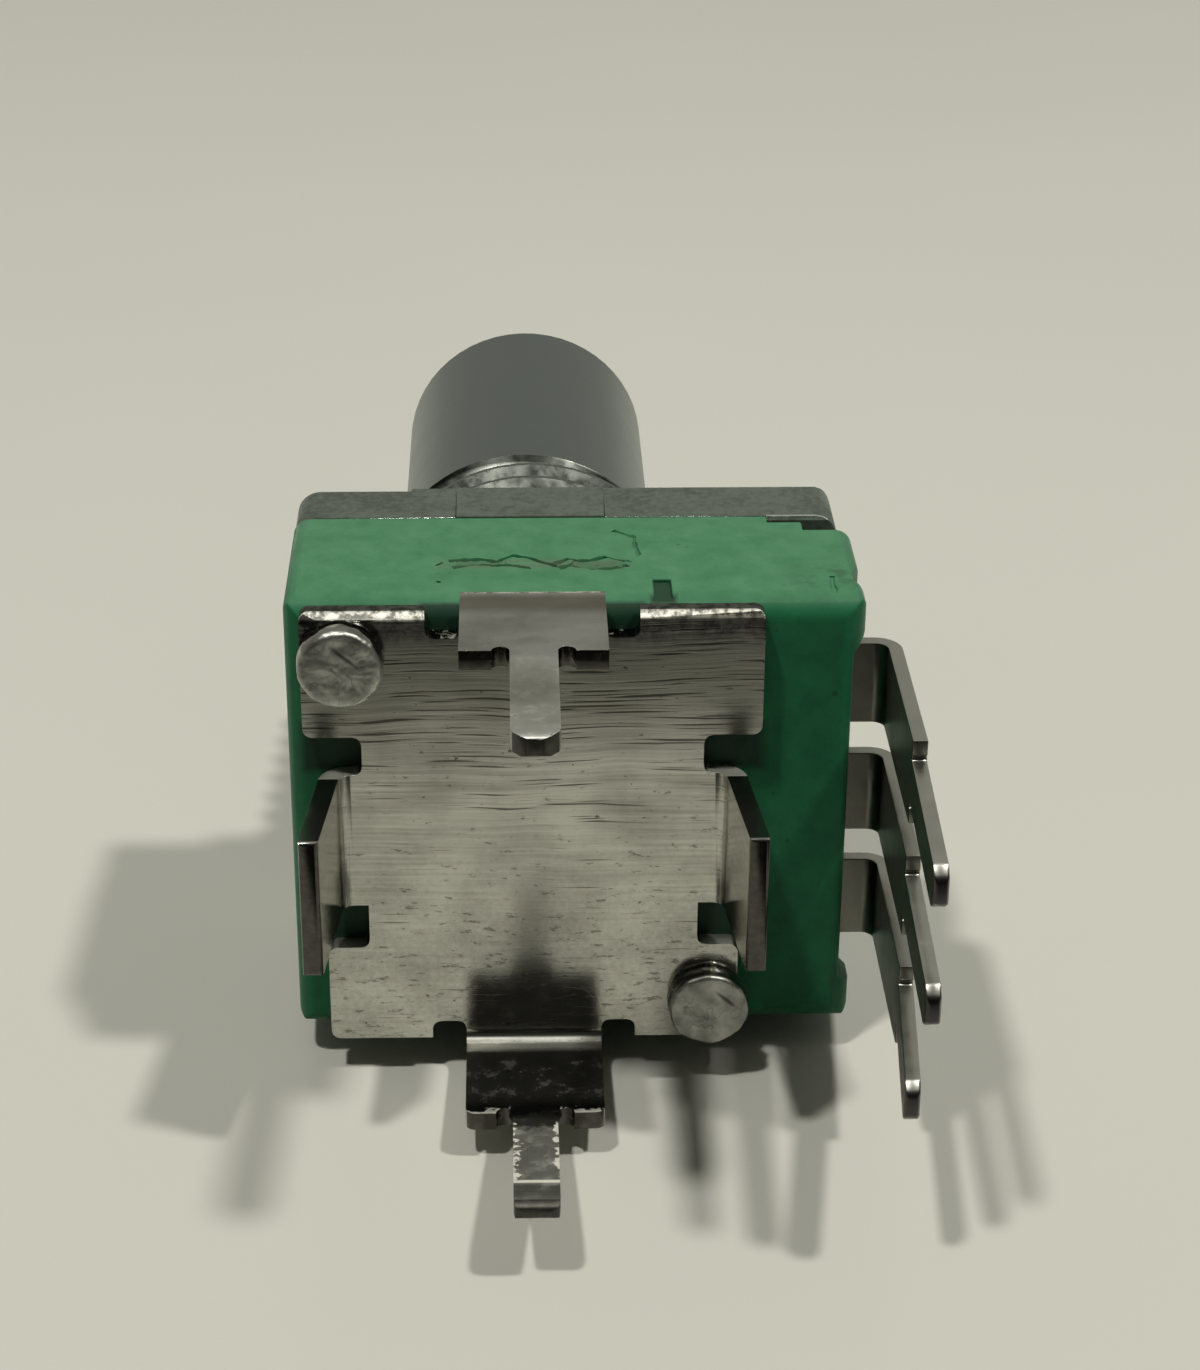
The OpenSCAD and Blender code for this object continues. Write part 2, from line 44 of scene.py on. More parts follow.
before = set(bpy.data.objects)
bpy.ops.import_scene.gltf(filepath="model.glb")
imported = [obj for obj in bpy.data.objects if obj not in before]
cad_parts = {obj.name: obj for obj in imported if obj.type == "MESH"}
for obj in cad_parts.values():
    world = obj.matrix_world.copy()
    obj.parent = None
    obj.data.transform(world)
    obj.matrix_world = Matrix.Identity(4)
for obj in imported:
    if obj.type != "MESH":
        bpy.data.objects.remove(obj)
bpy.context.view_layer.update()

MM = 0.001
BUSHING_R = 3.5 * MM
BUSHING_L = 5.5 * MM
CASTING_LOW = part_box("front_casting")[0]
HOUSING_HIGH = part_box("housing")[1]
BRACKET_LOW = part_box("rear_bracket")[0]
SHAFT_LOW, SHAFT_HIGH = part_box("control_shaft")
BRACKET_REAR = -6.3 * MM
EAR_TOP = 4.85 * MM
EAR_INNER = 2.0 * MM
LEG_OUT = 5.35 * MM
SHEET_T = 0.4 * MM
HEAD_PLACES = {"upper": (-3.75 * MM, 3.85 * MM), "lower": (3.6 * MM, -4.0 * MM)}
# Along Y in millimetres: the ends of the pins, and the shoulders where the pins start
PIN_TIP = BRACKET_LOW.y / MM
SHOULDER = -9.0
# The signs that a mask may test a place with
TESTS = {">": "GREATER_THAN", "<": "LESS_THAN"}


def linear(code):
    """Turns an sRGB hex code into the linear colour that a shader socket takes."""
    parts = [int(code[i : i + 2], 16) / 255 for i in (1, 3, 5)]
    return [c / 12.92 if c <= 0.04045 else ((c + 0.055) / 1.055) ** 2.4 for c in parts] + [1.0]


def colour_property(name, description, code):
    """A colour swatch that starts from an sRGB hex code."""
    return bpy.props.FloatVectorProperty(
        name=name, description=description, subtype="COLOR", size=4, min=0, max=1,
        default=linear(code),
    )


def length_property(name, description, millimetres):
    """A length that starts from a size in millimetres."""
    return bpy.props.FloatProperty(
        name=name, description=description, unit="LENGTH", subtype="DISTANCE", min=0,
        precision=6, default=millimetres * MM,
    )


class FinishColours(bpy.types.PropertyGroup):
    """Main colours of the potentiometer's finishes."""

    resin: colour_property("Resin", "Moulded green housing", "#1F7349")
    zinc: colour_property("Zinc", "Die-cast front", "#949E93")
    tin: colour_property("Tin", "Tin plated bracket sheet", "#C9C8C0")
    # The strip is darker than the sheet, partly as painted shade for the shadows its faces mirror
    strip: colour_property("Strip", "Tin plated terminal strip", "#86857C")
    shaft: colour_property("Shaft", "Turned shaft", "#8F9692")
    table: colour_property("Table", "Pale table top", "#D3D2C8")


class PartSizes(bpy.types.PropertyGroup):
    """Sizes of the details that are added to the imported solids."""

    thread_pitch: length_property("Thread pitch", "Distance between the bushing's crests", 0.75)
    thread_depth: length_property("Thread depth", "Height of the thread", 0.3)
    edge: length_property("Edge radius", "Soft edge on pressed and cast pieces", 0.04)
    sheet_edge: length_property("Sheet edge", "Edge radius of the tumbled sheet", 0.07)
    roll_over: length_property("Rolled edge", "Height of the ears' sloping upper edge", 0.13)


def feed(tree, socket, value):
    """Gives a socket a plain value, a node's output, or the first working output of a node."""
    if isinstance(value, bpy.types.Node):
        value = next(output for output in value.outputs if output.enabled)
    if isinstance(value, bpy.types.NodeSocket):
        tree.links.new(value, socket)
    else:
        socket.default_value = value


def add_node(tree, kind, inputs=None, **settings):
    """Adds one shader node with its settings and feeds its inputs, by name or by number."""
    made = tree.nodes.new("ShaderNode" + kind)
    for name, value in settings.items():
        setattr(made, name, value)
    for name, value in (inputs or {}).items():
        feed(tree, made.inputs[name], value)
    return made


def add_patterns(tree, place, *wanted):
    """Adds noise patterns. Each has its scale to the millimetre, its detail and its roughness,
    which is 0.5 unless given. Three scales stretch a pattern along X, Y and Z."""
    made = []
    for values in wanted:
        scale, detail, roughness = (*values, 0.5)[:3]
        where = place
        if isinstance(scale, tuple):
            where = add_node(tree, "Mapping", {"Vector": place, "Scale": scale})
            scale = 1.0
        made.append(add_node(tree, "TexNoise", {"Vector": where, "Scale": scale,
            "Detail": detail, "Roughness": roughness}))
    return made


def combine(tree, operation, *parts):
    """Takes parts through one operation in turn. A part is a node, an output or a number, or
    else a test such as (z, ">", 4.5), or a band: a value, the two places between which it
    changes, and its strength at the second and at the first, 1 and 0 unless given."""
    total = None
    given = (1.0, 0.0)
    for part in parts:
        if isinstance(part, tuple) and part[1] in TESTS:
            value, test, limit = part
            part = add_node(tree, "Math", {0: value, 1: limit}, operation=TESTS[test])
        elif isinstance(part, tuple):
            value, start, end, at_end, at_start = part + given[len(part) - 3 :]
            part = add_node(tree, "MapRange", {"Value": value, "From Min": start,
                "From Max": end, "To Min": at_start, "To Max": at_end})
        if total is not None:
            part = add_node(tree, "Math", {0: total, 1: part}, operation=operation)
        total = part
    return total


def lay_over(tree, under, over, *masks):
    """Lays one colour over another where all the masks meet. A hex code stands for its colour."""
    lower, upper = [linear(c) if isinstance(c, str) else c for c in (under, over)]
    mask = combine(tree, "MULTIPLY", *masks)
    # A mix of colours has its two colours on inputs 6 and 7
    return add_node(tree, "Mix", {0: mask, 6: lower, 7: upper}, data_type="RGBA")


def finish_surface(tree, shader, colour, rough, relief, strength, depth):
    """Gives a surface its colour, its roughness and a relief of some depth in millimetres."""
    bump = add_node(tree, "Bump", {"Height": relief, "Strength": strength,
        "Distance": depth * MM})
    feed(tree, shader.inputs["Base Color"], colour)
    feed(tree, shader.inputs["Roughness"], combine(tree, "ADD", rough))
    feed(tree, shader.inputs["Normal"], bump)


def new_material(name, **surface):
    """A material with one surface shader whose even values are set on its own sockets."""
    material = bpy.data.materials.new(name)
    material.use_nodes = True
    tree = material.node_tree
    shader = tree.nodes["Principled BSDF"]
    for socket, value in surface.items():
        shader.inputs[socket.replace("_", " ")].default_value = value
    way = add_node(tree, "TexCoord")
    # Patterns are written in millimetres
    place = add_node(tree, "Mapping", {"Vector": way.outputs["Object"], "Scale": (1 / MM,) * 3})
    return material, tree, shader, place


def only_select(*objects):
    """Leaves just these objects selected, the first of them active."""
    if bpy.context.mode != "OBJECT":
        bpy.ops.object.mode_set(mode="OBJECT")
    bpy.ops.object.select_all(action="DESELECT")
    for o in objects:
        o.select_set(True)
    bpy.context.view_layer.objects.active = objects[0]


def apply_modifier(piece, kind, **settings):
    """Adds one modifier to a piece with its settings and applies it."""
    only_select(piece)
    bpy.ops.object.modifier_add(type=kind)
    modifier = piece.modifiers[-1]
    for name, value in settings.items():
        setattr(modifier, name, value)
    bpy.ops.object.modifier_apply(modifier=modifier.name)


def finish_piece(piece, body, material, smooth=40):
    """Shades a piece, gives it its material and slot and lets it ride on its body."""
    only_select(piece)
    bpy.ops.object.shade_smooth_by_angle(angle=math.radians(smooth))
    # Broad flat faces keep their own normals beside the small rounded edges
    apply_modifier(piece, "WEIGHTED_NORMAL", mode="FACE_AREA", weight=90, keep_sharp=True)
    piece.data.materials.clear()
    piece.data.materials.append(material)
    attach(piece, body)


def joined_copy(node, name):
    """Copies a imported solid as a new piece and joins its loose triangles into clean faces."""
    piece = bpy.data.objects.new(name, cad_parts[node].data.copy())
    bpy.context.scene.collection.objects.link(piece)
    only_select(piece)
    if piece.data.has_custom_normals:
        bpy.ops.mesh.customdata_custom_splitnormals_clear()
    bpy.ops.object.mode_set(mode="EDIT")
    bpy.ops.mesh.select_all(action="SELECT")
    bpy.ops.mesh.remove_doubles(threshold=2e-7)
    bpy.ops.mesh.dissolve_limited(angle_limit=math.radians(1))
    bpy.ops.object.mode_set(mode="OBJECT")
    return piece


def cut_across(piece, axis, levels):
    """Adds edges to a piece at the given places along an axis, for a shape that bends there."""
    normal = Vector((axis == "X", axis == "Y", axis == "Z"))
    only_select(piece)
    bpy.ops.object.mode_set(mode="EDIT")
    for level in levels:
        bpy.ops.mesh.select_all(action="SELECT")
        bpy.ops.mesh.bisect(plane_co=normal * level, plane_no=normal)
    bpy.ops.object.mode_set(mode="OBJECT")


def soften(piece, radius, segments=2, clamp=False):
    """Rounds the sharp edges of a piece."""
    apply_modifier(
        piece, "BEVEL", width=radius, segments=segments, limit_method="ANGLE",
        angle_limit=math.radians(35), use_clamp_overlap=clamp,
    )


def round_chosen(piece, radius, segments, wanted):
    """Rounds the edges of a piece whose two ends pass a test of their places."""
    only_select(piece)
    bpy.ops.object.mode_set(mode="EDIT")
    bpy.ops.mesh.select_mode(type="EDGE")
    bpy.ops.mesh.select_all(action="DESELECT")
    bpy.ops.object.mode_set(mode="OBJECT")
    points = piece.data.vertices
    for e in piece.data.edges:
        e.select = wanted(points[e.vertices[0]].co / MM, points[e.vertices[1]].co / MM)
    bpy.ops.object.mode_set(mode="EDIT")
    bpy.ops.mesh.bevel(offset=radius, segments=segments, affect="EDGES", clamp_overlap=True)
    bpy.ops.mesh.select_mode(type="VERT")
    bpy.ops.object.mode_set(mode="OBJECT")


# Materials. All places in them are in millimetres.


def zinc_material():
    """Die-cast zinc, used as it leaves the die: a dull grey skin with mottled flow marks."""
    colours = bpy.context.scene.pot_colours
    material, tree, shader, place = new_material("Die_cast_zinc", Metallic=1.0)
    x, y, z = add_node(tree, "SeparateXYZ", {0: place}).outputs
    # Flow marks about 1 mm across, and a finer grain of 0.15 mm
    flow, grain = add_patterns(tree, place, (1.1, 5.0, 0.65), (7.0, 3.0))
    mixed = combine(tree, "ADD", flow, grain)
    tint = lay_over(tree, "#747C74", list(colours.zinc), (mixed, 0.80, 1.18))
    # Painted highlight: a pale line runs along the rear edge beside the slot, standing in for its
    # bright lit edge
    tint = lay_over(tree, tint, "#F2F4EE", (y, -1.68, -1.72), (x, ">", 4.9), (z, ">", 4.8))
    # The upper edge at the rear is burnished
    way = add_node(tree, "TexCoord")
    upper = add_node(tree, "VectorMath", {0: way.outputs["Normal"], 1: (0.0, -0.7071, 0.7071)},
        operation="DOT_PRODUCT")
    rough = combine(tree, "SUBTRACT", (mixed, 0.7, 1.3, 0.45, 0.62), (upper, 0.75, 0.85, 0.28))
    finish_surface(tree, shader, tint, rough, grain, 0.5, 0.02)
    return material


def sheet_places(tree, place):
    """What the steps of the sheet's finish share: places, ways it faces, masks and a mottle."""
    x, y, z = add_node(tree, "SeparateXYZ", {0: place}).outputs
    way = add_node(tree, "TexCoord")
    facing = add_node(tree, "SeparateXYZ", {0: way.outputs["Normal"]}).outputs
    on_plate = combine(tree, "MULTIPLY", (y, ">", -6.45))
    return SimpleNamespace(y=y, z=z, rear=facing[1], up=facing[2], on_plate=on_plate,
        across=add_node(tree, "Math", {0: x}, operation="ABSOLUTE"),
        on_lower_leg=combine(tree, "MULTIPLY", (z, "<", -4.6)),
        rolled_edge=combine(tree, "MULTIPLY", (z, 4.68, 4.75), on_plate),
        mottle=add_patterns(tree, place, (5.0, 3.0, 0.7))[0])


def sheet_lines(tree, place, at):
    """The sheet's rolling lines, and the dark marks on its plate."""
    wave, dots = add_patterns(tree, place, (0.45, 1.0), (4.5, 3.0, 0.7))
    # Rolling lines run along X with a slight wave. The real ones are finer than 0.05 mm and are
    # drawn at 0.08 mm. Hairlines are 1 to 3 mm long, short scratches 0.2 to 0.4 mm.
    bent = add_node(tree, "VectorMath", {0: wave.outputs["Color"], 1: (0.0, 0.0, 0.25)},
        operation="MULTIPLY")
    bent = add_node(tree, "VectorMath", {0: place, 1: bent}, operation="ADD")
    lines, hair, dash = add_patterns(tree, bent, ((0.3, 1.0, 13.0), 4.0, 0.6),
        ((0.5, 1.0, 22.0), 1.0, 0.4), ((2.6, 1.0, 9.0), 4.0, 0.7))
    # Dark hairlines crowd in the plate's upper half
    hair = combine(tree, "SUBTRACT", (at.z, -0.5, 2.6, 0.385, 0.265), hair)
    hair = combine(tree, "MULTIPLY", (hair, 0.0, 0.06, 0.8), at.on_plate)
    # Short scratches and dirt crowd at its lower edge
    dash = combine(tree, "SUBTRACT", (at.z, 1.5, -4.8, 0.425, 0.345), dash)
    dash = combine(tree, "MULTIPLY", (dash, 0.0, 0.05, 0.55), at.on_plate)
    # With them go pits and dirt specks of 0.1 to 0.2 mm
    return lines, combine(tree, "MAXIMUM", hair, (dots, 0.70, 0.75, 0.8), dash)


def plate_wear_and_painted_light(tree, at, tint, marks):
    """Wear and dirt of the bracket's plate and its ears, painted reflections and shade on them, and
    the flux on the upper leg.
    """
    y, z = at.y, at.z
    # Painted reflection: the upper third of the plate is darker, standing in for the shaded table
    # in front that it mirrors
    tint = lay_over(tree, tint, "#85847B", (z, 1.4, 3.0, 0.5), at.on_plate)
    # Under the rolled edge of the ears the plating is blue-black and mottled
    tint = lay_over(tree, tint, "#45464C", (z, 4.0, 4.45), (z, 4.75, 4.70), at.on_plate,
        (at.mottle, 0.35, 0.65, 0.35, 0.9))
    tint = lay_over(tree, tint, "#3A3832", marks)
    # Painted reflection: the plate is dark above the lower leg's bend, where it mirrors the leg
    tint = lay_over(tree, tint, "#1E211C", (at.across, 1.35, 1.15), (z, -3.2, -3.8, 0.65),
        (y, ">", -6.32))
    # The rolled edge is burnished, and its pale spots are partly painted highlights
    burnish_and_highlight = lay_over(tree, "#77766F", "#DAD7CC", (at.mottle, 0.42, 0.58))
    tint = lay_over(tree, tint, burnish_and_highlight, at.rolled_edge)
    # Painted shade in the gap between the ears and the housing
    tint = lay_over(tree, tint, "#262D26", (y, -6.20, -6.15, 0.85), at.rolled_edge)
    # Flux has left a brown smudge on the upper leg, next to its bend
    return lay_over(tree, tint, "#6A6049", (y, -7.45, -7.1, 0.6), (z, ">", 4.6), (y, -6.5, -6.7))


def pin_wear_and_painted_light(tree, at, tint):
    """Bare sheared ends, and the painted dark reflection and the bright chips with painted glints
    round the lower pin.
    """
    y = at.y
    looks_up = combine(tree, "MULTIPLY", (at.up, 0.3, 0.5))
    # Sheared ends that face the rear, and the lower pin's bevel, are bare, darkened steel
    sheared = combine(tree, "MULTIPLY", (at.rear, -0.3, -0.5), (at.up, 0.5, 0.3), (y, -6.9, -7.1))
    bevel = combine(tree, "MAXIMUM", (y, PIN_TIP + 0.26, PIN_TIP + 0.20),
        (y, PIN_TIP + 0.70, PIN_TIP + 0.64, 0.45))
    bevel = combine(tree, "MULTIPLY", bevel, at.on_lower_leg)
    steel = lay_over(tree, "#34342F", "#67645F", at.mottle)
    tint = lay_over(tree, tint, steel, combine(tree, "MAXIMUM", sheared, bevel))
    # Painted reflection: a dark patch with a ragged end runs from the lower leg over the root of
    # its pin, where its upward face mirrors dark surroundings
    stray = add_node(tree, "Math", {0: at.mottle, 1: 0.8, 2: -0.4}, operation="MULTIPLY_ADD")
    ragged = combine(tree, "ADD", y, stray)
    tint = lay_over(tree, tint, "#1C1F1A", (ragged, -9.75, -9.50, 0.85), (y, -8.3, -8.8),
        at.on_lower_leg, looks_up)
    # Bright chips along the leg's rear edge, the pin's long edges and its step: worn edges, and
    # painted glints
    rear_edge = combine(tree, "MULTIPLY", (ragged, -8.88, -8.92), (y, -9.06, -9.02),
        (at.across, ">", 0.5))
    side = combine(tree, "ADD", at.across, stray)
    long_edge = combine(tree, "MULTIPLY", (side, 0.40, 0.43), (y, -9.35, -9.45))
    chips_and_glints = combine(tree, "MAXIMUM", long_edge, (y, PIN_TIP + 0.86, PIN_TIP + 0.83))
    chips_and_glints = combine(tree, "MULTIPLY", chips_and_glints, (y, PIN_TIP + 0.72, PIN_TIP + 0.76))
    chips_and_glints = combine(tree, "MAXIMUM", rear_edge, chips_and_glints)
    chips_and_glints = combine(tree, "MULTIPLY", chips_and_glints, looks_up, at.on_lower_leg)
    return lay_over(tree, tint, "#F2F0E6", chips_and_glints), chips_and_glints


def wall_painted_light(tree, at, tint):
    """Painted shade and highlights on the sheared walls that look up in the plate's openings."""
    wall = combine(tree, "MULTIPLY", (at.up, 0.6, 0.9), at.on_plate)
    # Painted shade: the walls beside the upper leg's fold are black, with small painted glints
    painted_shade_and_glints = lay_over(tree, "#10110F", "#F2F0E6", (at.mottle, 0.56, 0.60))
    tint = lay_over(tree, tint, painted_shade_and_glints, wall, (at.z, ">", 4.0), (at.z, "<", 4.5))
    # Painted highlight: the walls over the wings are bright along the wing's fold
    near_wing = add_node(tree, "Math", {0: at.z, 1: 1.3, 2: 0.25}, operation="COMPARE")
    return lay_over(tree, tint, "#F2F0E6", wall, near_wing)


def tin_sheet_material():
    """Rolled steel sheet, tin plated: a soft mirror with fine lines across the bracket."""
    colours = bpy.context.scene.pot_colours
    material, tree, shader, place = new_material("Tin_plated_sheet", Metallic=1.0)
    at = sheet_places(tree, place)
    y, z = at.y, at.z
    cloud, grain, rubs = add_patterns(tree, place, (0.6, 4.0), (7.0, 3.0, 0.8), (2.6, 5.0, 0.75))
    lines, marks = sheet_lines(tree, place, at)
    # The lines fade to an even grain toward the lower edge
    faded = combine(tree, "MULTIPLY", (z, 1.0, -2.5, 0.6))
    streaks = add_node(tree, "Mix", {0: faded, 2: lines, 3: grain})
    tone = combine(tree, "ADD", streaks, cloud)
    tint = lay_over(tree, "#9B9A90", list(colours.tin), (tone, 0.7, 1.2))
    tint = plate_wear_and_painted_light(tree, at, tint, marks)
    tint, chips_and_glints = pin_wear_and_painted_light(tree, at, tint)
    tint = wall_painted_light(tree, at, tint)
    # Duller than the lines are the pins, where the tin is thick, the stretched metal in the lower
    # leg's bend, the rolled edge, rubbed patches of 0.3 mm on the legs, the sheared walls that
    # look up in the plate's openings, and the chips with their painted glints
    height = add_node(tree, "Math", {0: z}, operation="ABSOLUTE")
    bend = combine(tree, "MULTIPLY", (z, "<", -4.5), (y, -6.85, -6.65, 0.22), (y, -6.32, -6.4))
    edge = combine(tree, "MULTIPLY", at.rolled_edge, 0.22)
    rub = combine(tree, "MULTIPLY", (rubs, 0.5, 0.72, 0.22), (y, -6.9, -7.2), (height, ">", 3.0))
    walls = combine(tree, "MULTIPLY", (at.up, 0.6, 0.9, 0.3), at.on_plate)
    rough = combine(tree, "ADD", (tone, 0.7, 1.3, 0.14, 0.22), (y, -9.0, -9.3, 0.28), bend, edge,
        rub, walls, combine(tree, "MULTIPLY", chips_and_glints, 0.3))
    # The rolled edge was hammered by the press: its mottle stands up strongly
    rolled = combine(tree, "MULTIPLY", (z, 4.68, 4.75, 6.0), at.mottle, at.on_plate)
    relief = combine(tree, "SUBTRACT", streaks, marks)
    relief = combine(tree, "ADD", relief, rolled)
    finish_surface(tree, shader, tint, rough, relief, 0.4, 0.005)
    return material


def thread_material():
    """Zinc with its cast skin cut away by the thread die: bright, with torn crests."""
    material, tree, shader, place = new_material("Cut_zinc_thread", Metallic=1.0)
    y = add_node(tree, "SeparateXYZ", {0: place}).outputs[1]
    [torn] = add_patterns(tree, place, (3.0, 4.0))
    tint = lay_over(tree, "#656963", "#989C94", torn)
    # Painted shade in the gap at the mouth
    tint = lay_over(tree, tint, "#20221F", (y, 5.08, 5.14, 0.9), (y, 5.32, 5.27))
    finish_surface(tree, shader, tint, (torn, 0.35, 0.65, 0.42, 0.24), torn, 0.3, 0.012)
    return material


def head_material():
    """Zinc struck by the riveting punch: a dull grey face with cracks, bright on its side."""
    material, tree, shader, place = new_material("Upset_zinc", Metallic=1.0)
    y = add_node(tree, "SeparateXYZ", {0: place}).outputs[1]
    # The face starts 0.42 mm behind the sheet; the side below it was polished by the tool
    face = combine(tree, "MULTIPLY", (y, -6.68, -6.75))
    cloud, cracks = add_patterns(tree, place, (2.2, 4.0), (1.5, 2.0))
    off_level = add_node(tree, "Math", {0: cracks, 1: 0.12}, operation="PINGPONG")
    dark = combine(tree, "MULTIPLY", (off_level, 0.0, 0.008, 0.0, 0.45), face)
    # The punch has left a gouge on either face, 0.5 mm long, down toward the right
    for x, z in ((-3.63, 4.12), (3.93, -3.72)):
        gouge = add_node(tree, "VectorMath", {0: place, 1: (x, 0.0, z)}, operation="SUBTRACT")
        gouge = add_node(tree, "VectorRotate", {"Vector": gouge, "Angle": -0.72},
            rotation_type="Y_AXIS")
        gouge = add_node(tree, "VectorMath", {0: gouge, 1: (2.8, 0.0, 17.0)},
            operation="MULTIPLY")
        gouge = add_node(tree, "VectorMath", {0: gouge}, operation="LENGTH")
        ragged = combine(tree, "MULTIPLY", gouge, cracks)
        dark = combine(tree, "MAXIMUM", dark, (ragged, 0.62, 0.25, 0.75))
    tint = lay_over(tree, "#8A8A84", "#BEBEB7", (cloud, 0.35, 0.65))
    tint = lay_over(tree, tint, "#2F302C", dark)
    finish_surface(tree, shader, tint, (face, 0.0, 1.0, 0.45, 0.2), cloud, 0.4, 0.03)
    return material


def tin_strip_material():
    """Tin-plated brass strip: dark smooth faces, partly as painted shade for the shadows they
    mirror, with a painted highlight on the faces that look up, the sheared upper edges.
    """
    colours = bpy.context.scene.pot_colours
    material, tree, shader, place = new_material("Tin_plated_strip", Metallic=1.0)
    y = add_node(tree, "SeparateXYZ", {0: place}).outputs[1]
    way = add_node(tree, "TexCoord")
    facing = add_node(tree, "SeparateXYZ", {0: way.outputs["Normal"]}).outputs
    [cloud] = add_patterns(tree, place, (2.0, 4.0))
    # The dark faces are partly painted shade for the shadows they mirror
    tint = lay_over(tree, "#62605A", list(colours.strip), cloud)
    # Painted highlight: the faces that look up, the strip's upper edges, are paler
    tint = lay_over(tree, tint, "#BDBCB2", (facing[2], 0.5, 0.9))
    # The pins' sheared ends are bare and darkened
    tint = lay_over(tree, tint, "#4B484A", (y, PIN_TIP + 0.10, PIN_TIP + 0.03))
    finish_surface(tree, shader, tint, (cloud, 0.3, 0.7, 0.42, 0.3), cloud, 0.4, 0.02)
    return material


def resin_material():
    """Glass-filled resin, moulded: matte green that turns pale at a low angle, with dark tears."""
    colours = bpy.context.scene.pot_colours
    material, tree, shader, place = new_material("Moulded_green_resin", IOR=1.5,
        Specular_IOR_Level=0.25, Sheen_Weight=0.25, Sheen_Roughness=0.4,
        Sheen_Tint=linear("#D6F2DA"))
    x, y, z = add_node(tree, "SeparateXYZ", {0: place}).outputs
    across = add_node(tree, "Math", {0: x}, operation="ABSOLUTE")
    on_top = combine(tree, "MULTIPLY", (z, ">", 4.7))
    way = add_node(tree, "TexCoord")
    facing = add_node(tree, "SeparateXYZ", {0: way.outputs["Normal"]}).outputs
    cloud, blots, dots, streaks, grain = add_patterns(tree, place, (1.6, 6.0, 0.6), (3.2, 4.0),
        (4.0, 2.0), ((1.2, 7.0, 1.0), 3.0), (12.0, 2.0))
    tone = combine(tree, "MULTIPLY", (cloud, 0.32, 0.68))
    tint = lay_over(tree, "#196340", list(colours.resin), tone)
    # Painted sheen: the faces that look up are paler, standing in for the grazing reflection on
    # them
    top_sheen = lay_over(tree, "#3E7852", "#4F8762", tone)
    tint = lay_over(tree, tint, top_sheen, (facing[2], 0.55, 1.0))
    # Painted shade on the torn floor of the tool marks, below the top face
    tint = lay_over(tree, tint, "#2C4633", (z, 4.893, 4.85, 0.45), on_top, (y, ">", -5.0),
        (across, "<", 2.3))
    # Rubbed dirt near the right corner of the top face, broken up by a 0.3 mm mottle
    reach = add_node(tree, "VectorMath", {0: place, 1: (5.95, -4.9, 4.9)}, operation="DISTANCE")
    dirt_and_shade = combine(tree, "MULTIPLY", (reach, 1.3, 0.1), (blots, 0.46, 0.64, 0.55))
    # A few dark specks everywhere, 0.1 mm across
    dirt_and_shade = combine(tree, "MAXIMUM", dirt_and_shade, (dots, 0.72, 0.78, 0.5))
    # Painted shade in the bracket's openings, on both sides, and in the gate recess.
    # Each pocket has its centre and half size.
    both_sides = add_node(tree, "CombineXYZ", {0: across, 1: y, 2: z})
    pockets = [(both_sides, (3.95, -5.9, 1.72), (0.7, 0.2, 0.55)),
        (both_sides, (3.2, -5.9, -2.2), (1.05, 0.2, 0.7)),
        (both_sides, (1.75, -5.9, 4.5), (0.45, 0.2, 0.33)),
        (place, (2.575, -5.28, 4.72), (0.26, 0.5, 0.15))]
    for where, centre, half in pockets:
        inward = add_node(tree, "VectorMath", {0: where, 1: centre}, operation="SUBTRACT")
        inward = add_node(tree, "VectorMath", {0: inward, 1: half}, operation="DIVIDE")
        inward = add_node(tree, "VectorMath", {0: inward}, operation="ABSOLUTE")
        far = combine(tree, "MAXIMUM", *add_node(tree, "SeparateXYZ", {0: inward}).outputs)
        dirt_and_shade = combine(tree, "MAXIMUM", dirt_and_shade, (far, 1.15, 0.8, 0.85))
    # Rubbed grey-brown band round the tool marks, in streaks along it
    apart = combine(tree, "ADD", y, 4.1)
    apart = add_node(tree, "Math", {0: apart}, operation="ABSOLUTE")
    tint = lay_over(tree, tint, "#5E6C56", (apart, 0.36, 0.12), (across, 2.1, 1.8), on_top,
        (streaks, 0.35, 0.6, 0.7))
    # Real dirt and the painted shade in the pockets share one dark colour
    tint = lay_over(tree, tint, "#15291D", dirt_and_shade)
    finish_surface(tree, shader, tint, (grain, 0.3, 0.7, 0.62, 0.5), grain, 0.3, 0.01)
    return material


def shaft_material():
    """Bar stock, turned and plated: an even satin grey with turning marks round it."""
    colours = bpy.context.scene.pot_colours
    material, tree, shader, place = new_material("Turned_plated_shaft", Metallic=1.0)
    # Turning marks go round the shaft, so they vary along Y; drawn at 0.08 mm
    [marks] = add_patterns(tree, place, ((0.4, 12.0, 0.4), 3.0))
    tint = lay_over(tree, "#7C8480", list(colours.shaft), marks)
    finish_surface(tree, shader, tint, (marks, 0.3, 0.7, 0.4, 0.3), marks, 0.2, 0.005)
    return material


def plain_material(name, low, high, scale, rough, metallic):
    """A simple finish for a sealed inner piece: two close tones in a fine mottle."""
    material, tree, shader, place = new_material(name, Metallic=metallic, Roughness=rough)
    [cloud] = add_patterns(tree, place, (scale, 3.0))
    feed(tree, shader.inputs["Base Color"], lay_over(tree, low, high, cloud))
    return material


# Pieces


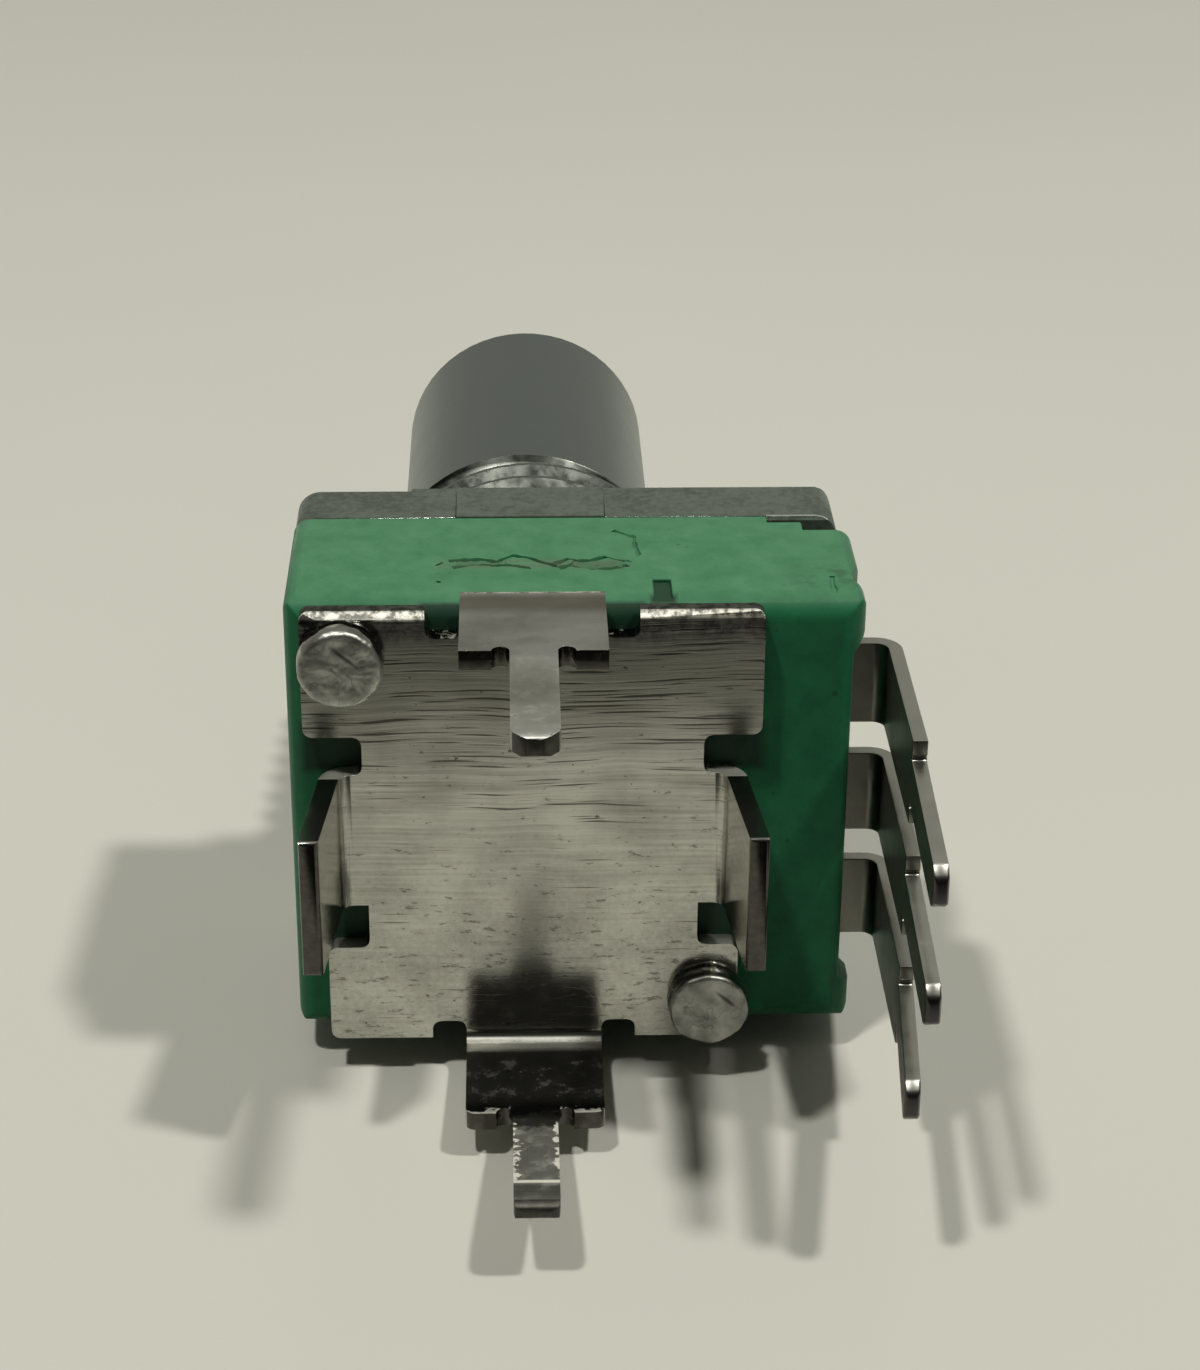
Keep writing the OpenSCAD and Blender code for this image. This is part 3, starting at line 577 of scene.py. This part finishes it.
class POT_OT_casting(bpy.types.Operator):
    """Make the die-cast front with its soft edges"""

    bl_idname = "pot.casting"
    bl_label = "Front casting"

    def execute(self, context):
        sizes = context.scene.pot_sizes
        piece = joined_copy("front_casting", "casting_body")
        # The bushing's wall goes down to the thread's core, and the heads are cut off
        margin, gate_front = 0.02 * MM, -1.0 * MM
        core = BUSHING_R - sizes.thread_depth - margin
        for v in piece.data.vertices:
            reach = math.hypot(v.co.x, v.co.z)
            if v.co.y > -margin and core < reach < BUSHING_R + margin:
                v.co.x *= core / reach
                v.co.z *= core / reach
            # The gate's trace runs out toward the housing
            if v.co.z > HOUSING_HIGH.z + margin and v.co.y < gate_front:
                v.co.z = HOUSING_HIGH.z + margin
        only_select(piece)
        bpy.ops.object.mode_set(mode="EDIT")
        bpy.ops.mesh.select_all(action="SELECT")
        bpy.ops.mesh.bisect(plane_co=(0, BRACKET_REAR + 0.01 * MM, 0), plane_no=(0, 1, 0),
            use_fill=True, clear_inner=True)
        bpy.ops.object.mode_set(mode="OBJECT")
        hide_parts("front_casting")
        soften(piece, sizes.edge)
        finish_piece(piece, "body", zinc_material())
        return {"FINISHED"}


class POT_OT_thread(bpy.types.Operator):
    """Cut the fine thread on the bushing"""

    bl_idname = "pot.thread"
    bl_label = "Bushing thread"

    def execute(self, context):
        sizes = context.scene.pot_sizes
        pitch, crest = sizes.thread_pitch, BUSHING_R
        core = crest - sizes.thread_depth
        start, end = 0.3 * MM, BUSHING_L - 0.02 * MM
        chamfer, tuck, before_start = 0.3 * MM, 0.86, 1.2
        # One tooth's outline, from root to root, is swept along the helix
        tooth = [(core, 0.0), (core, 0.12), (crest, 0.46), (crest, 0.62), (core, 0.96), (core, 1.0)]
        mesh = bpy.data.meshes.new("bushing_thread")
        mesh.from_pydata([(r, t * pitch, 0) for r, t in tooth], [(i, i + 1) for i in range(5)], [])
        piece = bpy.data.objects.new("bushing_thread", mesh)
        context.scene.collection.objects.link(piece)
        turns = int((end - start) / pitch) + 3
        apply_modifier(piece, "SCREW", axis="Y", screw_offset=pitch, iterations=turns, steps=64,
            render_steps=64, use_merge_vertices=True, merge_threshold=1e-6,
            use_normal_calculate=True)
        only_select(piece)
        bpy.ops.object.mode_set(mode="EDIT")
        bpy.ops.mesh.select_all(action="SELECT")
        bpy.ops.transform.translate(value=(0, -before_start * pitch, 0))
        bpy.ops.mesh.remove_doubles(threshold=1e-6)
        bpy.ops.mesh.bisect(plane_co=(0, start, 0), plane_no=(0, 1, 0), clear_inner=True)
        bpy.ops.mesh.select_all(action="SELECT")
        bpy.ops.mesh.bisect(plane_co=(0, end, 0), plane_no=(0, 1, 0), clear_outer=True)
        # Both ends are closed down to the casting's wall
        bpy.ops.mesh.select_all(action="DESELECT")
        bpy.ops.mesh.select_non_manifold(extend=False)
        bpy.ops.mesh.extrude_region_move()
        bpy.ops.transform.resize(value=(tuck, 1, tuck), center_override=(0, 0, 0))
        bpy.ops.mesh.select_all(action="SELECT")
        bpy.ops.mesh.normals_make_consistent(inside=False)
        bpy.ops.object.mode_set(mode="OBJECT")
        # The mouth's chamfer cuts the last turns down
        for v in piece.data.vertices:
            reach = math.hypot(v.co.x, v.co.z)
            allowed = crest - max(0.0, v.co.y - (BUSHING_L - chamfer))
            if reach > allowed:
                v.co.x *= allowed / reach
                v.co.z *= allowed / reach
        finish_piece(piece, "body", thread_material(), smooth=25)
        return {"FINISHED"}


class POT_OT_post_heads(bpy.types.Operator):
    """Upset the two cast posts over the bracket"""

    bl_idname = "pot.post_heads"
    bl_label = "Upset post heads"

    def execute(self, context):
        material = head_material()
        # Radius and height of each ring, from the bracket to the middle of the face
        barrel = {
            "upper": [(0.78, 0.0), (0.83, 0.05), (0.86, 0.14), (0.86, 0.28), (0.84, 0.38),
                (0.80, 0.46), (0.74, 0.495), (0.60, 0.50), (0.45, 0.50), (0.30, 0.50),
                (0.15, 0.50)],
            "lower": [(0.76, 0.0), (0.82, 0.05), (0.84, 0.12), (0.80, 0.20), (0.785, 0.27),
                (0.815, 0.34), (0.82, 0.42), (0.79, 0.475), (0.74, 0.50), (0.60, 0.495),
                (0.45, 0.50), (0.30, 0.495), (0.15, 0.50)],
        }
        for place, rings in barrel.items():
            x, z = HEAD_PLACES[place]
            centre = Vector((x, BRACKET_REAR, z))
            bpy.ops.object.select_all(action="DESELECT")
            bpy.ops.mesh.primitive_circle_add(vertices=56, radius=rings[0][0] * MM,
                fill_type="NGON", location=centre, rotation=(math.radians(90), 0, 0))
            piece = context.view_layer.objects.active
            piece.name = f"post_head_{place}"
            bpy.ops.object.transform_apply(location=True, rotation=True, scale=True)
            bpy.ops.object.mode_set(mode="EDIT")
            bpy.ops.mesh.select_all(action="SELECT")
            for (r0, h0), (r1, h1) in zip(rings, rings[1:]):
                bpy.ops.mesh.extrude_region_move(
                    TRANSFORM_OT_translate={"value": (0, -(h1 - h0) * MM, 0)})
                bpy.ops.transform.resize(value=(r1 / r0, 1, r1 / r0), center_override=centre)
            bpy.ops.mesh.poke()
            bpy.ops.mesh.select_all(action="SELECT")
            bpy.ops.mesh.normals_make_consistent(inside=False)
            bpy.ops.object.mode_set(mode="OBJECT")
            apply_modifier(piece, "SUBSURF", levels=2, render_levels=2)
            # The struck face is uneven: dents about 0.35 mm across, under 0.04 mm deep
            dents = bpy.data.textures.new(f"dents_{place}", "CLOUDS")
            dents.noise_scale = 0.35 * MM
            dents.noise_depth = 3
            apply_modifier(piece, "DISPLACE", texture=dents, texture_coords="LOCAL",
                strength=0.06 * MM, mid_level=0.5)
            finish_piece(piece, "body", material, smooth=60)
        return {"FINISHED"}


class POT_OT_shaft(bpy.types.Operator):
    """Make the turned shaft"""

    bl_idname = "pot.shaft"
    bl_label = "Shaft"

    def execute(self, context):
        piece = joined_copy("control_shaft", "shaft_turned")
        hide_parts("control_shaft")
        finish_piece(piece, "shaft", shaft_material())
        return {"FINISHED"}


class POT_OT_housing(bpy.types.Operator):
    """Make the moulded housing with its soft edges"""

    bl_idname = "pot.housing"
    bl_label = "Housing"

    def execute(self, context):
        piece = joined_copy("housing", "housing_moulding")
        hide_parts("housing")
        soften(piece, context.scene.pot_sizes.edge)
        # A tool slipped over the top face and tore it. Paths are X and Y in millimetres.
        torn = random.Random(7)
        tears = [
            (0.09, 0.15, [(-1.66, -3.94), (-1.34, -3.88), (-1.02, -3.86), (-0.69, -3.97),
                (-0.37, -3.69), (-0.08, -3.79), (0.20, -4.01), (0.52, -4.23)]),
            (0.09, 0.15, [(0.45, -4.12), (0.74, -3.86), (0.95, -3.95), (1.21, -3.94),
                (1.50, -3.77), (1.74, -3.94), (1.99, -3.99)]),
            (0.08, 0.14, [(-1.58, -4.27), (-1.16, -4.09), (-0.80, -4.15), (-0.44, -4.16),
                (-0.02, -4.30)]),
            (0.08, 0.15, [(0.55, -4.32), (0.84, -4.12), (1.16, -4.35), (1.52, -4.36),
                (1.93, -4.19)]),
            (0.05, 0.36, [(0.80, -4.06), (1.10, -4.16), (1.50, -4.12), (1.85, -4.10)]),
            (0.03, 0.22, [(-1.50, -4.05), (-1.00, -4.00), (-0.50, -4.02)]),
            (0.05, 0.15, [(1.69, -2.46), (1.97, -2.70), (2.12, -2.80), (2.10, -3.06),
                (2.14, -3.46), (2.17, -3.73)]),
            (0.12, 0.18, [(-1.86, -4.06), (-1.82, -4.10)]),
            (0.16, 0.09, [(-1.86, -4.97), (-1.83, -4.91)]),
            (0.04, 0.12, [(5.97, -4.78), (5.95, -5.18), (5.98, -5.60)]),
        ]
        for depth, width, path in tears:
            self.tear(piece, torn, depth * MM, width * MM, [Vector(p) * MM for p in path])
        finish_piece(piece, "body", resin_material())
        return {"FINISHED"}

    def tear(self, piece, torn, depth, width, path):
        """Cuts one shallow groove of uneven width into the top face along a path."""
        top, stride = HOUSING_HIGH.z, 0.12 * MM
        steps = []
        for a, b in zip(path, path[1:]):
            count = max(1, round((b - a).length / stride))
            steps += [a.lerp(b, i / count) for i in range(count)]
        steps.append(path[-1])
        ahead = (steps[1] - steps[0]).normalized()
        turn = math.atan2(ahead.y, ahead.x)
        bpy.ops.object.select_all(action="DESELECT")
        bpy.ops.mesh.primitive_circle_add(vertices=6, radius=width / 2, fill_type="NGON",
            location=(steps[0].x, steps[0].y, top), rotation=(0, math.radians(90), turn))
        cutter = bpy.context.view_layer.objects.active
        bpy.ops.object.transform_apply(location=True, rotation=True, scale=True)
        bpy.ops.object.mode_set(mode="EDIT")
        bpy.ops.mesh.select_all(action="SELECT")
        wide = 1.0
        for a, b in zip(steps, steps[1:]):
            step = b - a
            bpy.ops.mesh.extrude_region_move(
                TRANSFORM_OT_translate={"value": (step.x, step.y, 0)})
            wanted = torn.uniform(0.55, 1.35)
            bpy.ops.transform.resize(value=(wanted / wide,) * 3, center_override=(b.x, b.y, top))
            wide = wanted
        bpy.ops.mesh.select_all(action="SELECT")
        bpy.ops.transform.resize(value=(1, 1, 2 * depth / width), center_override=(0, 0, top))
        bpy.ops.mesh.normals_make_consistent(inside=False)
        bpy.ops.object.mode_set(mode="OBJECT")
        apply_modifier(piece, "BOOLEAN", operation="DIFFERENCE", object=cutter, solver="EXACT")
        bpy.data.objects.remove(cutter)


class POT_OT_bracket(bpy.types.Operator):
    """Make the folded rear bracket"""

    bl_idname = "pot.bracket"
    bl_label = "Rear bracket"

    # Inner corners of the plate's openings on either side, X and Z in millimetres
    notch_corners = ((1.4, 4.3), (2.1, 4.3), (3.4, 2.15), (3.4, 1.3), (3.35, -2.7), (2.1, -4.5),
        (1.4, -4.5))

    def execute(self, context):
        sizes = context.scene.pot_sizes
        piece = joined_copy("rear_bracket", "bracket_sheet")
        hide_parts("rear_bracket")
        # The edges that the tumbler rounded most, with their radius in millimetres and their steps
        for wanted, radius, steps in ((self.is_notch_corner, 0.18, 3),
                (self.is_sheared_end, 0.07, 2), (self.is_shoulder_corner, 0.18, 3),
                (self.is_shoulder_edge, 0.10, 1)):
            round_chosen(piece, radius * MM, steps, wanted)
        soften(piece, sizes.sheet_edge, segments=3, clamp=True)
        self.round_tips(piece)
        self.shape_lower_pin(piece)
        self.roll_ears(piece, sizes.roll_over)
        self.splay_wings(piece)
        finish_piece(piece, "body", tin_sheet_material())
        return {"FINISHED"}

    def is_notch_corner(self, a, b):
        """Finds the inner corners of the plate's openings, in millimetres."""
        across_sheet = abs(a.x - b.x) + abs(a.z - b.z) < 0.001 and abs(a.y - b.y) > 0.3
        return across_sheet and a.y > -6.4 and any(
            abs(abs(a.x) - x) + abs(a.z - z) < 0.02 for x, z in self.notch_corners)

    def is_sheared_end(self, a, b):
        """Finds the edges round the rear ends of the wings and the pins."""
        on_wing = min(abs(a.x), abs(b.x)) > 3.5 and max(a.y, b.y) < SHOULDER + 0.01
        return on_wing or max(a.y, b.y) < PIN_TIP + 0.01

    def is_shoulder_corner(self, a, b):
        """Finds the outer corners of the lower leg's rear end."""
        return all(abs(abs(p.x) - 1.4) < 0.01 and abs(p.y - SHOULDER) < 0.01 and p.z < -4.9
            for p in (a, b))

    def is_shoulder_edge(self, a, b):
        """Finds the upper edge of the lower leg's rear end, beside the pin."""
        return all(abs(p.x) > 0.7 and SHOULDER - 0.01 < p.y < SHOULDER + 0.2
            and abs(p.z + 4.95) < 0.01 for p in (a, b))

    def round_tips(self, piece):
        """Turns the pins' cut corners round, wide on the upper pin and tight on the lower."""
        half, end_half, cut = 0.45 * MM, 0.25 * MM, 0.25 * MM
        cut_across(piece, "Y", [BRACKET_LOW.y + d * MM for d in (0.03, 0.07, 0.12, 0.18, 0.3, 0.4)])
        for v in piece.data.vertices:
            back = v.co.y - BRACKET_LOW.y
            radius = 0.4 * MM if v.co.z > 0 else 0.14 * MM
            if back < cut:
                arc = math.sqrt(radius ** 2 - max(0, radius - back) ** 2)
                v.co.x *= (half - radius + arc) / (end_half + (half - end_half) * back / cut)
            elif back < radius:
                v.co.x *= (half - radius + math.sqrt(radius ** 2 - (radius - back) ** 2)) / half

    def roll_ears(self, piece, radius):
        """Rolls the ears' upper edges over into a sloping band, as the press left them."""
        cut_across(piece, "Z", [EAR_TOP - radius * (1 - step) for step in (0, 0.1, 0.25, 0.5, 0.8)])
        for v in piece.data.vertices:
            above = v.co.z - (EAR_TOP - radius)
            if above > 0 and v.co.y < BRACKET_REAR + 0.1 * MM and abs(v.co.x) > EAR_INNER:
                rise = above / radius
                v.co.y = max(v.co.y, BRACKET_REAR + 1.2 * radius * rise ** 2 / (rise + 0.15))

    def shape_lower_pin(self, piece):
        """Bends the lower pin up from its root, with a small step and a worn edge at its tip."""
        root, tip, rise = SHOULDER * MM, BRACKET_LOW.y, 0.37 * MM
        step, step_length, worn = tip + 0.75 * MM, 0.06 * MM, tip + 0.15 * MM
        cut_across(piece, "Y", [step, step - step_length, worn])
        for v in piece.data.vertices:
            if v.co.z < -4.6 * MM and v.co.y < root:
                if v.co.z > -LEG_OUT + SHEET_T / 2:
                    v.co.z -= 0.8 * max(0, min(step_length, step - v.co.y))
                    v.co.z -= 0.8 * max(0, worn - v.co.y)
                v.co.z += rise * (root - v.co.y) / (root - tip)

    def splay_wings(self, piece):
        """Opens both side wings by a few degrees, as on the reference."""
        bend, tip, spread = -6.6 * MM, SHOULDER * MM, 0.26 * MM
        for v in piece.data.vertices:
            if v.co.y < bend and abs(v.co.x) > 3.5 * MM and abs(v.co.z) < 2.0 * MM:
                v.co.x += math.copysign(spread * (bend - v.co.y) / (bend - tip), v.co.x)


class POT_OT_terminals(bpy.types.Operator):
    """Make the three stamped terminals"""

    bl_idname = "pot.terminals"
    bl_label = "Terminals"

    # Shift of each pin's tip to the side and down, in millimetres
    pin_bends = {"upper": (0.0, 0.38), "middle": (0.0, 0.42), "lower": (-0.28, 0.0)}

    def execute(self, context):
        material = tin_strip_material()
        for place, (aside, down) in self.pin_bends.items():
            piece = joined_copy(f"terminal_{place}", f"terminal_strip_{place}")
            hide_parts(f"terminal_{place}")
            round_chosen(piece, 0.1 * MM, 2, self.is_tip)
            soften(piece, context.scene.pot_sizes.edge)
            # The pins were bent a little in handling
            root, tip = SHOULDER * MM, BRACKET_LOW.y
            for v in piece.data.vertices:
                along = (root - v.co.y) / (root - tip)
                if along > 0:
                    v.co.x += aside * MM * along
                    v.co.z -= down * MM * along
            finish_piece(piece, "body", material)
        return {"FINISHED"}

    def is_tip(self, a, b):
        """Finds the edges round a pin's end."""
        return max(a.y, b.y) < PIN_TIP + 0.01


class POT_OT_inner_pieces(bpy.types.Operator):
    """Give the sealed inner pieces their finishes"""

    bl_idname = "pot.inner_pieces"
    bl_label = "Inner pieces"

    def execute(self, context):
        finishes = {
            "thrust_washer": ("Bronze_washer", "#B9A674", "#D3C494", 4.0, 0.3, 1.0),
            "retaining_ring": ("Spring_steel_ring", "#7C7F82", "#999CA0", 4.0, 0.35, 1.0),
            "rotor": ("Moulded_rotor_resin", "#D8D3C3", "#E8E4D8", 3.0, 0.5, 0.0),
            "wiper_spring": ("Rolled_spring_bronze", "#B37C42", "#CD9A5E", 5.0, 0.25, 1.0),
            "element_board": ("Pressed_laminate", "#93683A", "#B4854E", 6.0, 0.6, 0.0),
            "resistive_track": ("Printed_carbon", "#19191A", "#262627", 9.0, 0.55, 0.0),
            "collector_ring": ("Printed_silver", "#A9ABAD", "#C6C8CA", 9.0, 0.4, 1.0),
        }
        made = {node: plain_material(*values) for node, values in finishes.items()}
        made["end_pad_upper"] = made["end_pad_lower"] = made["collector_ring"]
        for node, material in made.items():
            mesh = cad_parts[node].data
            mesh.materials.clear()
            mesh.materials.append(material)
        return {"FINISHED"}


class POT_OT_stage(bpy.types.Operator):
    """Set the pale table, the lamps, the world and the camera"""

    bl_idname = "pot.stage"
    bl_label = "Stage"

    def execute(self, context):
        scene = context.scene
        self.make_table(scene)
        self.make_world(scene)
        # Two soft lamps above the part, one on either side; each throws one of the two shadows
        self.make_lamp("Lamp_right", Vector((0.50, -0.20, 1.0)), 0.36, 0.60, 0.026)
        self.make_lamp("Lamp_left", Vector((-0.28, -0.28, 1.0)), 0.36, 0.56, 0.026)
        self.make_camera(scene)
        scene.view_settings.view_transform = "Standard"
        return {"FINISHED"}

    def make_table(self, scene):
        """A plain sheet that the part rests on with its shaft's tip and the casting's edge."""
        shaft_chamfer, gap = 0.35 * MM, 0.01 * MM
        slope = (SHAFT_LOW.z - CASTING_LOW.z) / (SHAFT_HIGH.y - shaft_chamfer)
        level = CASTING_LOW.z - gap
        rear, front, reach = -30 * MM, 30 * MM, 1.5
        rows = [(-reach, level + slope * rear), (rear, level + slope * rear),
            (front, level + slope * front), (reach, level + slope * front)]
        mesh = bpy.data.meshes.new("table_top")
        points = [(x, y, z) for y, z in rows for x in (-reach, reach)]
        faces = [(2 * i, 2 * i + 1, 2 * i + 3, 2 * i + 2) for i in range(3)]
        mesh.from_pydata(points, [], faces)
        table = bpy.data.objects.new("table_top", mesh)
        scene.collection.objects.link(table)
        apply_modifier(table, "BEVEL", width=20 * MM, segments=24, limit_method="ANGLE",
            angle_limit=math.radians(2), use_clamp_overlap=False)
        only_select(table)
        bpy.ops.object.shade_smooth()
        material, tree, shader, place = new_material("Lacquered_table", Roughness=0.28, IOR=1.45)
        [cloud] = add_patterns(tree, place, (0.05, 3.0))
        tint = lay_over(tree, "#CECDC3", list(scene.pot_colours.table), cloud)
        # The light that the table throws back up is dimmed, as in a room with dark surroundings,
        # and gloss sees its near part in the shade of whoever stands there
        ray = add_node(tree, "LightPath").outputs
        y = add_node(tree, "SeparateXYZ", {0: place}).outputs[1]
        near = combine(tree, "MULTIPLY", (y, -35.0, -22.0, 1.0, 0.03))
        direct = combine(tree, "MAXIMUM", ray["Is Camera Ray"], ray["Is Transmission Ray"])
        glossy = add_node(tree, "Mix", {0: ray["Is Glossy Ray"], 2: 0.4, 3: near})
        shown = lay_over(tree, "#000000", tint, combine(tree, "MAXIMUM", glossy, direct))
        # Far from the part, where the lamps fade, the camera still sees a pale table
        away = add_node(tree, "VectorMath", {0: place}, operation="LENGTH")
        glow = combine(tree, "MULTIPLY", (away, 130.0, 600.0, 0.62), ray["Is Camera Ray"])
        surface = {"Base Color": shown, "Emission Color": tint, "Emission Strength": glow}
        for name, made in surface.items():
            feed(tree, shader.inputs[name], made)
        table.data.materials.append(material)

    def make_world(self, scene):
        """A dim room: a little dimmer overhead, and dark on the camera's side."""
        world = bpy.data.worlds.new("Room")
        scene.world = world
        world.use_nodes = True
        tree = world.node_tree
        back = tree.nodes["Background"]
        back.inputs["Color"].default_value = linear("#F4F4E9")
        way = add_node(tree, "TexCoord")
        ahead, up = add_node(tree, "SeparateXYZ", {0: way.outputs["Generated"]}).outputs[1:]
        level = combine(tree, "MULTIPLY", (up, 0.1, 1.0, 0.30, 0.36), (ahead, -0.5, 0.4, 1.0, 0.08))
        # The camera sees the room as a pale backdrop beyond the table
        ray = add_node(tree, "LightPath").outputs
        seen = add_node(tree, "Mix", {0: ray["Is Camera Ray"], 2: level, 3: 0.55})
        feed(tree, back.inputs["Strength"], seen)

    def make_lamp(self, name, way, distance, power, size):
        """An area lamp at a distance from the part, aimed at it."""
        data = bpy.data.lights.new(name, "AREA")
        data.shape = "DISK"
        data.size = size
        data.energy = power
        data.color = linear("#FEFDF7")[:3]
        lamp = bpy.data.objects.new(name, data)
        bpy.context.scene.collection.objects.link(lamp)
        way = way.normalized()
        lamp.location = way * distance
        lamp.rotation_euler = way.to_track_quat("Z", "Y").to_euler()

    def make_camera(self, scene):
        """The reference view: behind the part and above it, nearly in line with its shaft."""
        ahead = Vector((0.02958, 0.89400, -0.44709)).normalized()
        right = Vector((0.99954, -0.02969, 0.00678)).normalized()
        up = right.cross(ahead).normalized()
        data = bpy.data.cameras.new("Camera")
        camera = bpy.data.objects.new("Camera", data)
        scene.collection.objects.link(camera)
        turn = Matrix((right, up, -ahead)).transposed().to_4x4()
        camera.matrix_world = Matrix.Translation(Vector((-0.424, -59.006, 29.633)) * MM) @ turn
        data.sensor_width = 36
        # The reference has a focal length of 3002 px on its long side of 1370 px
        data.lens = 3002 / 1370 * data.sensor_width
        data.clip_start = 1 * MM
        data.clip_end = 10
        scene.camera = camera


PIECE_OPERATORS = (
    POT_OT_casting, POT_OT_thread, POT_OT_post_heads, POT_OT_shaft, POT_OT_housing,
    POT_OT_bracket, POT_OT_terminals, POT_OT_inner_pieces, POT_OT_stage,
)


class POT_PT_panel(bpy.types.Panel):
    """Lists the potentiometer's pieces in the sidebar"""

    bl_label = "Potentiometer"
    bl_idname = "POT_PT_panel"
    bl_space_type = "VIEW_3D"
    bl_region_type = "UI"
    bl_category = "Potentiometer"

    def draw(self, context):
        for group in (context.scene.pot_sizes, context.scene.pot_colours):
            box = self.layout.box()
            for name in group.__annotations__:
                box.prop(group, name)
        for operator in PIECE_OPERATORS:
            self.layout.operator(operator.bl_idname)


CLASSES = (FinishColours, PartSizes, *PIECE_OPERATORS, POT_PT_panel)


def register():
    for item in CLASSES:
        bpy.utils.register_class(item)
    bpy.types.Scene.pot_colours = bpy.props.PointerProperty(type=FinishColours)
    bpy.types.Scene.pot_sizes = bpy.props.PointerProperty(type=PartSizes)


def unregister():
    del bpy.types.Scene.pot_sizes
    del bpy.types.Scene.pot_colours
    for item in reversed(CLASSES):
        bpy.utils.unregister_class(item)


def main():
    register()
    for operator in PIECE_OPERATORS:
        group, name = operator.bl_idname.split(".")
        getattr(getattr(bpy.ops, group), name)()


if __name__ == "__main__":
    main()
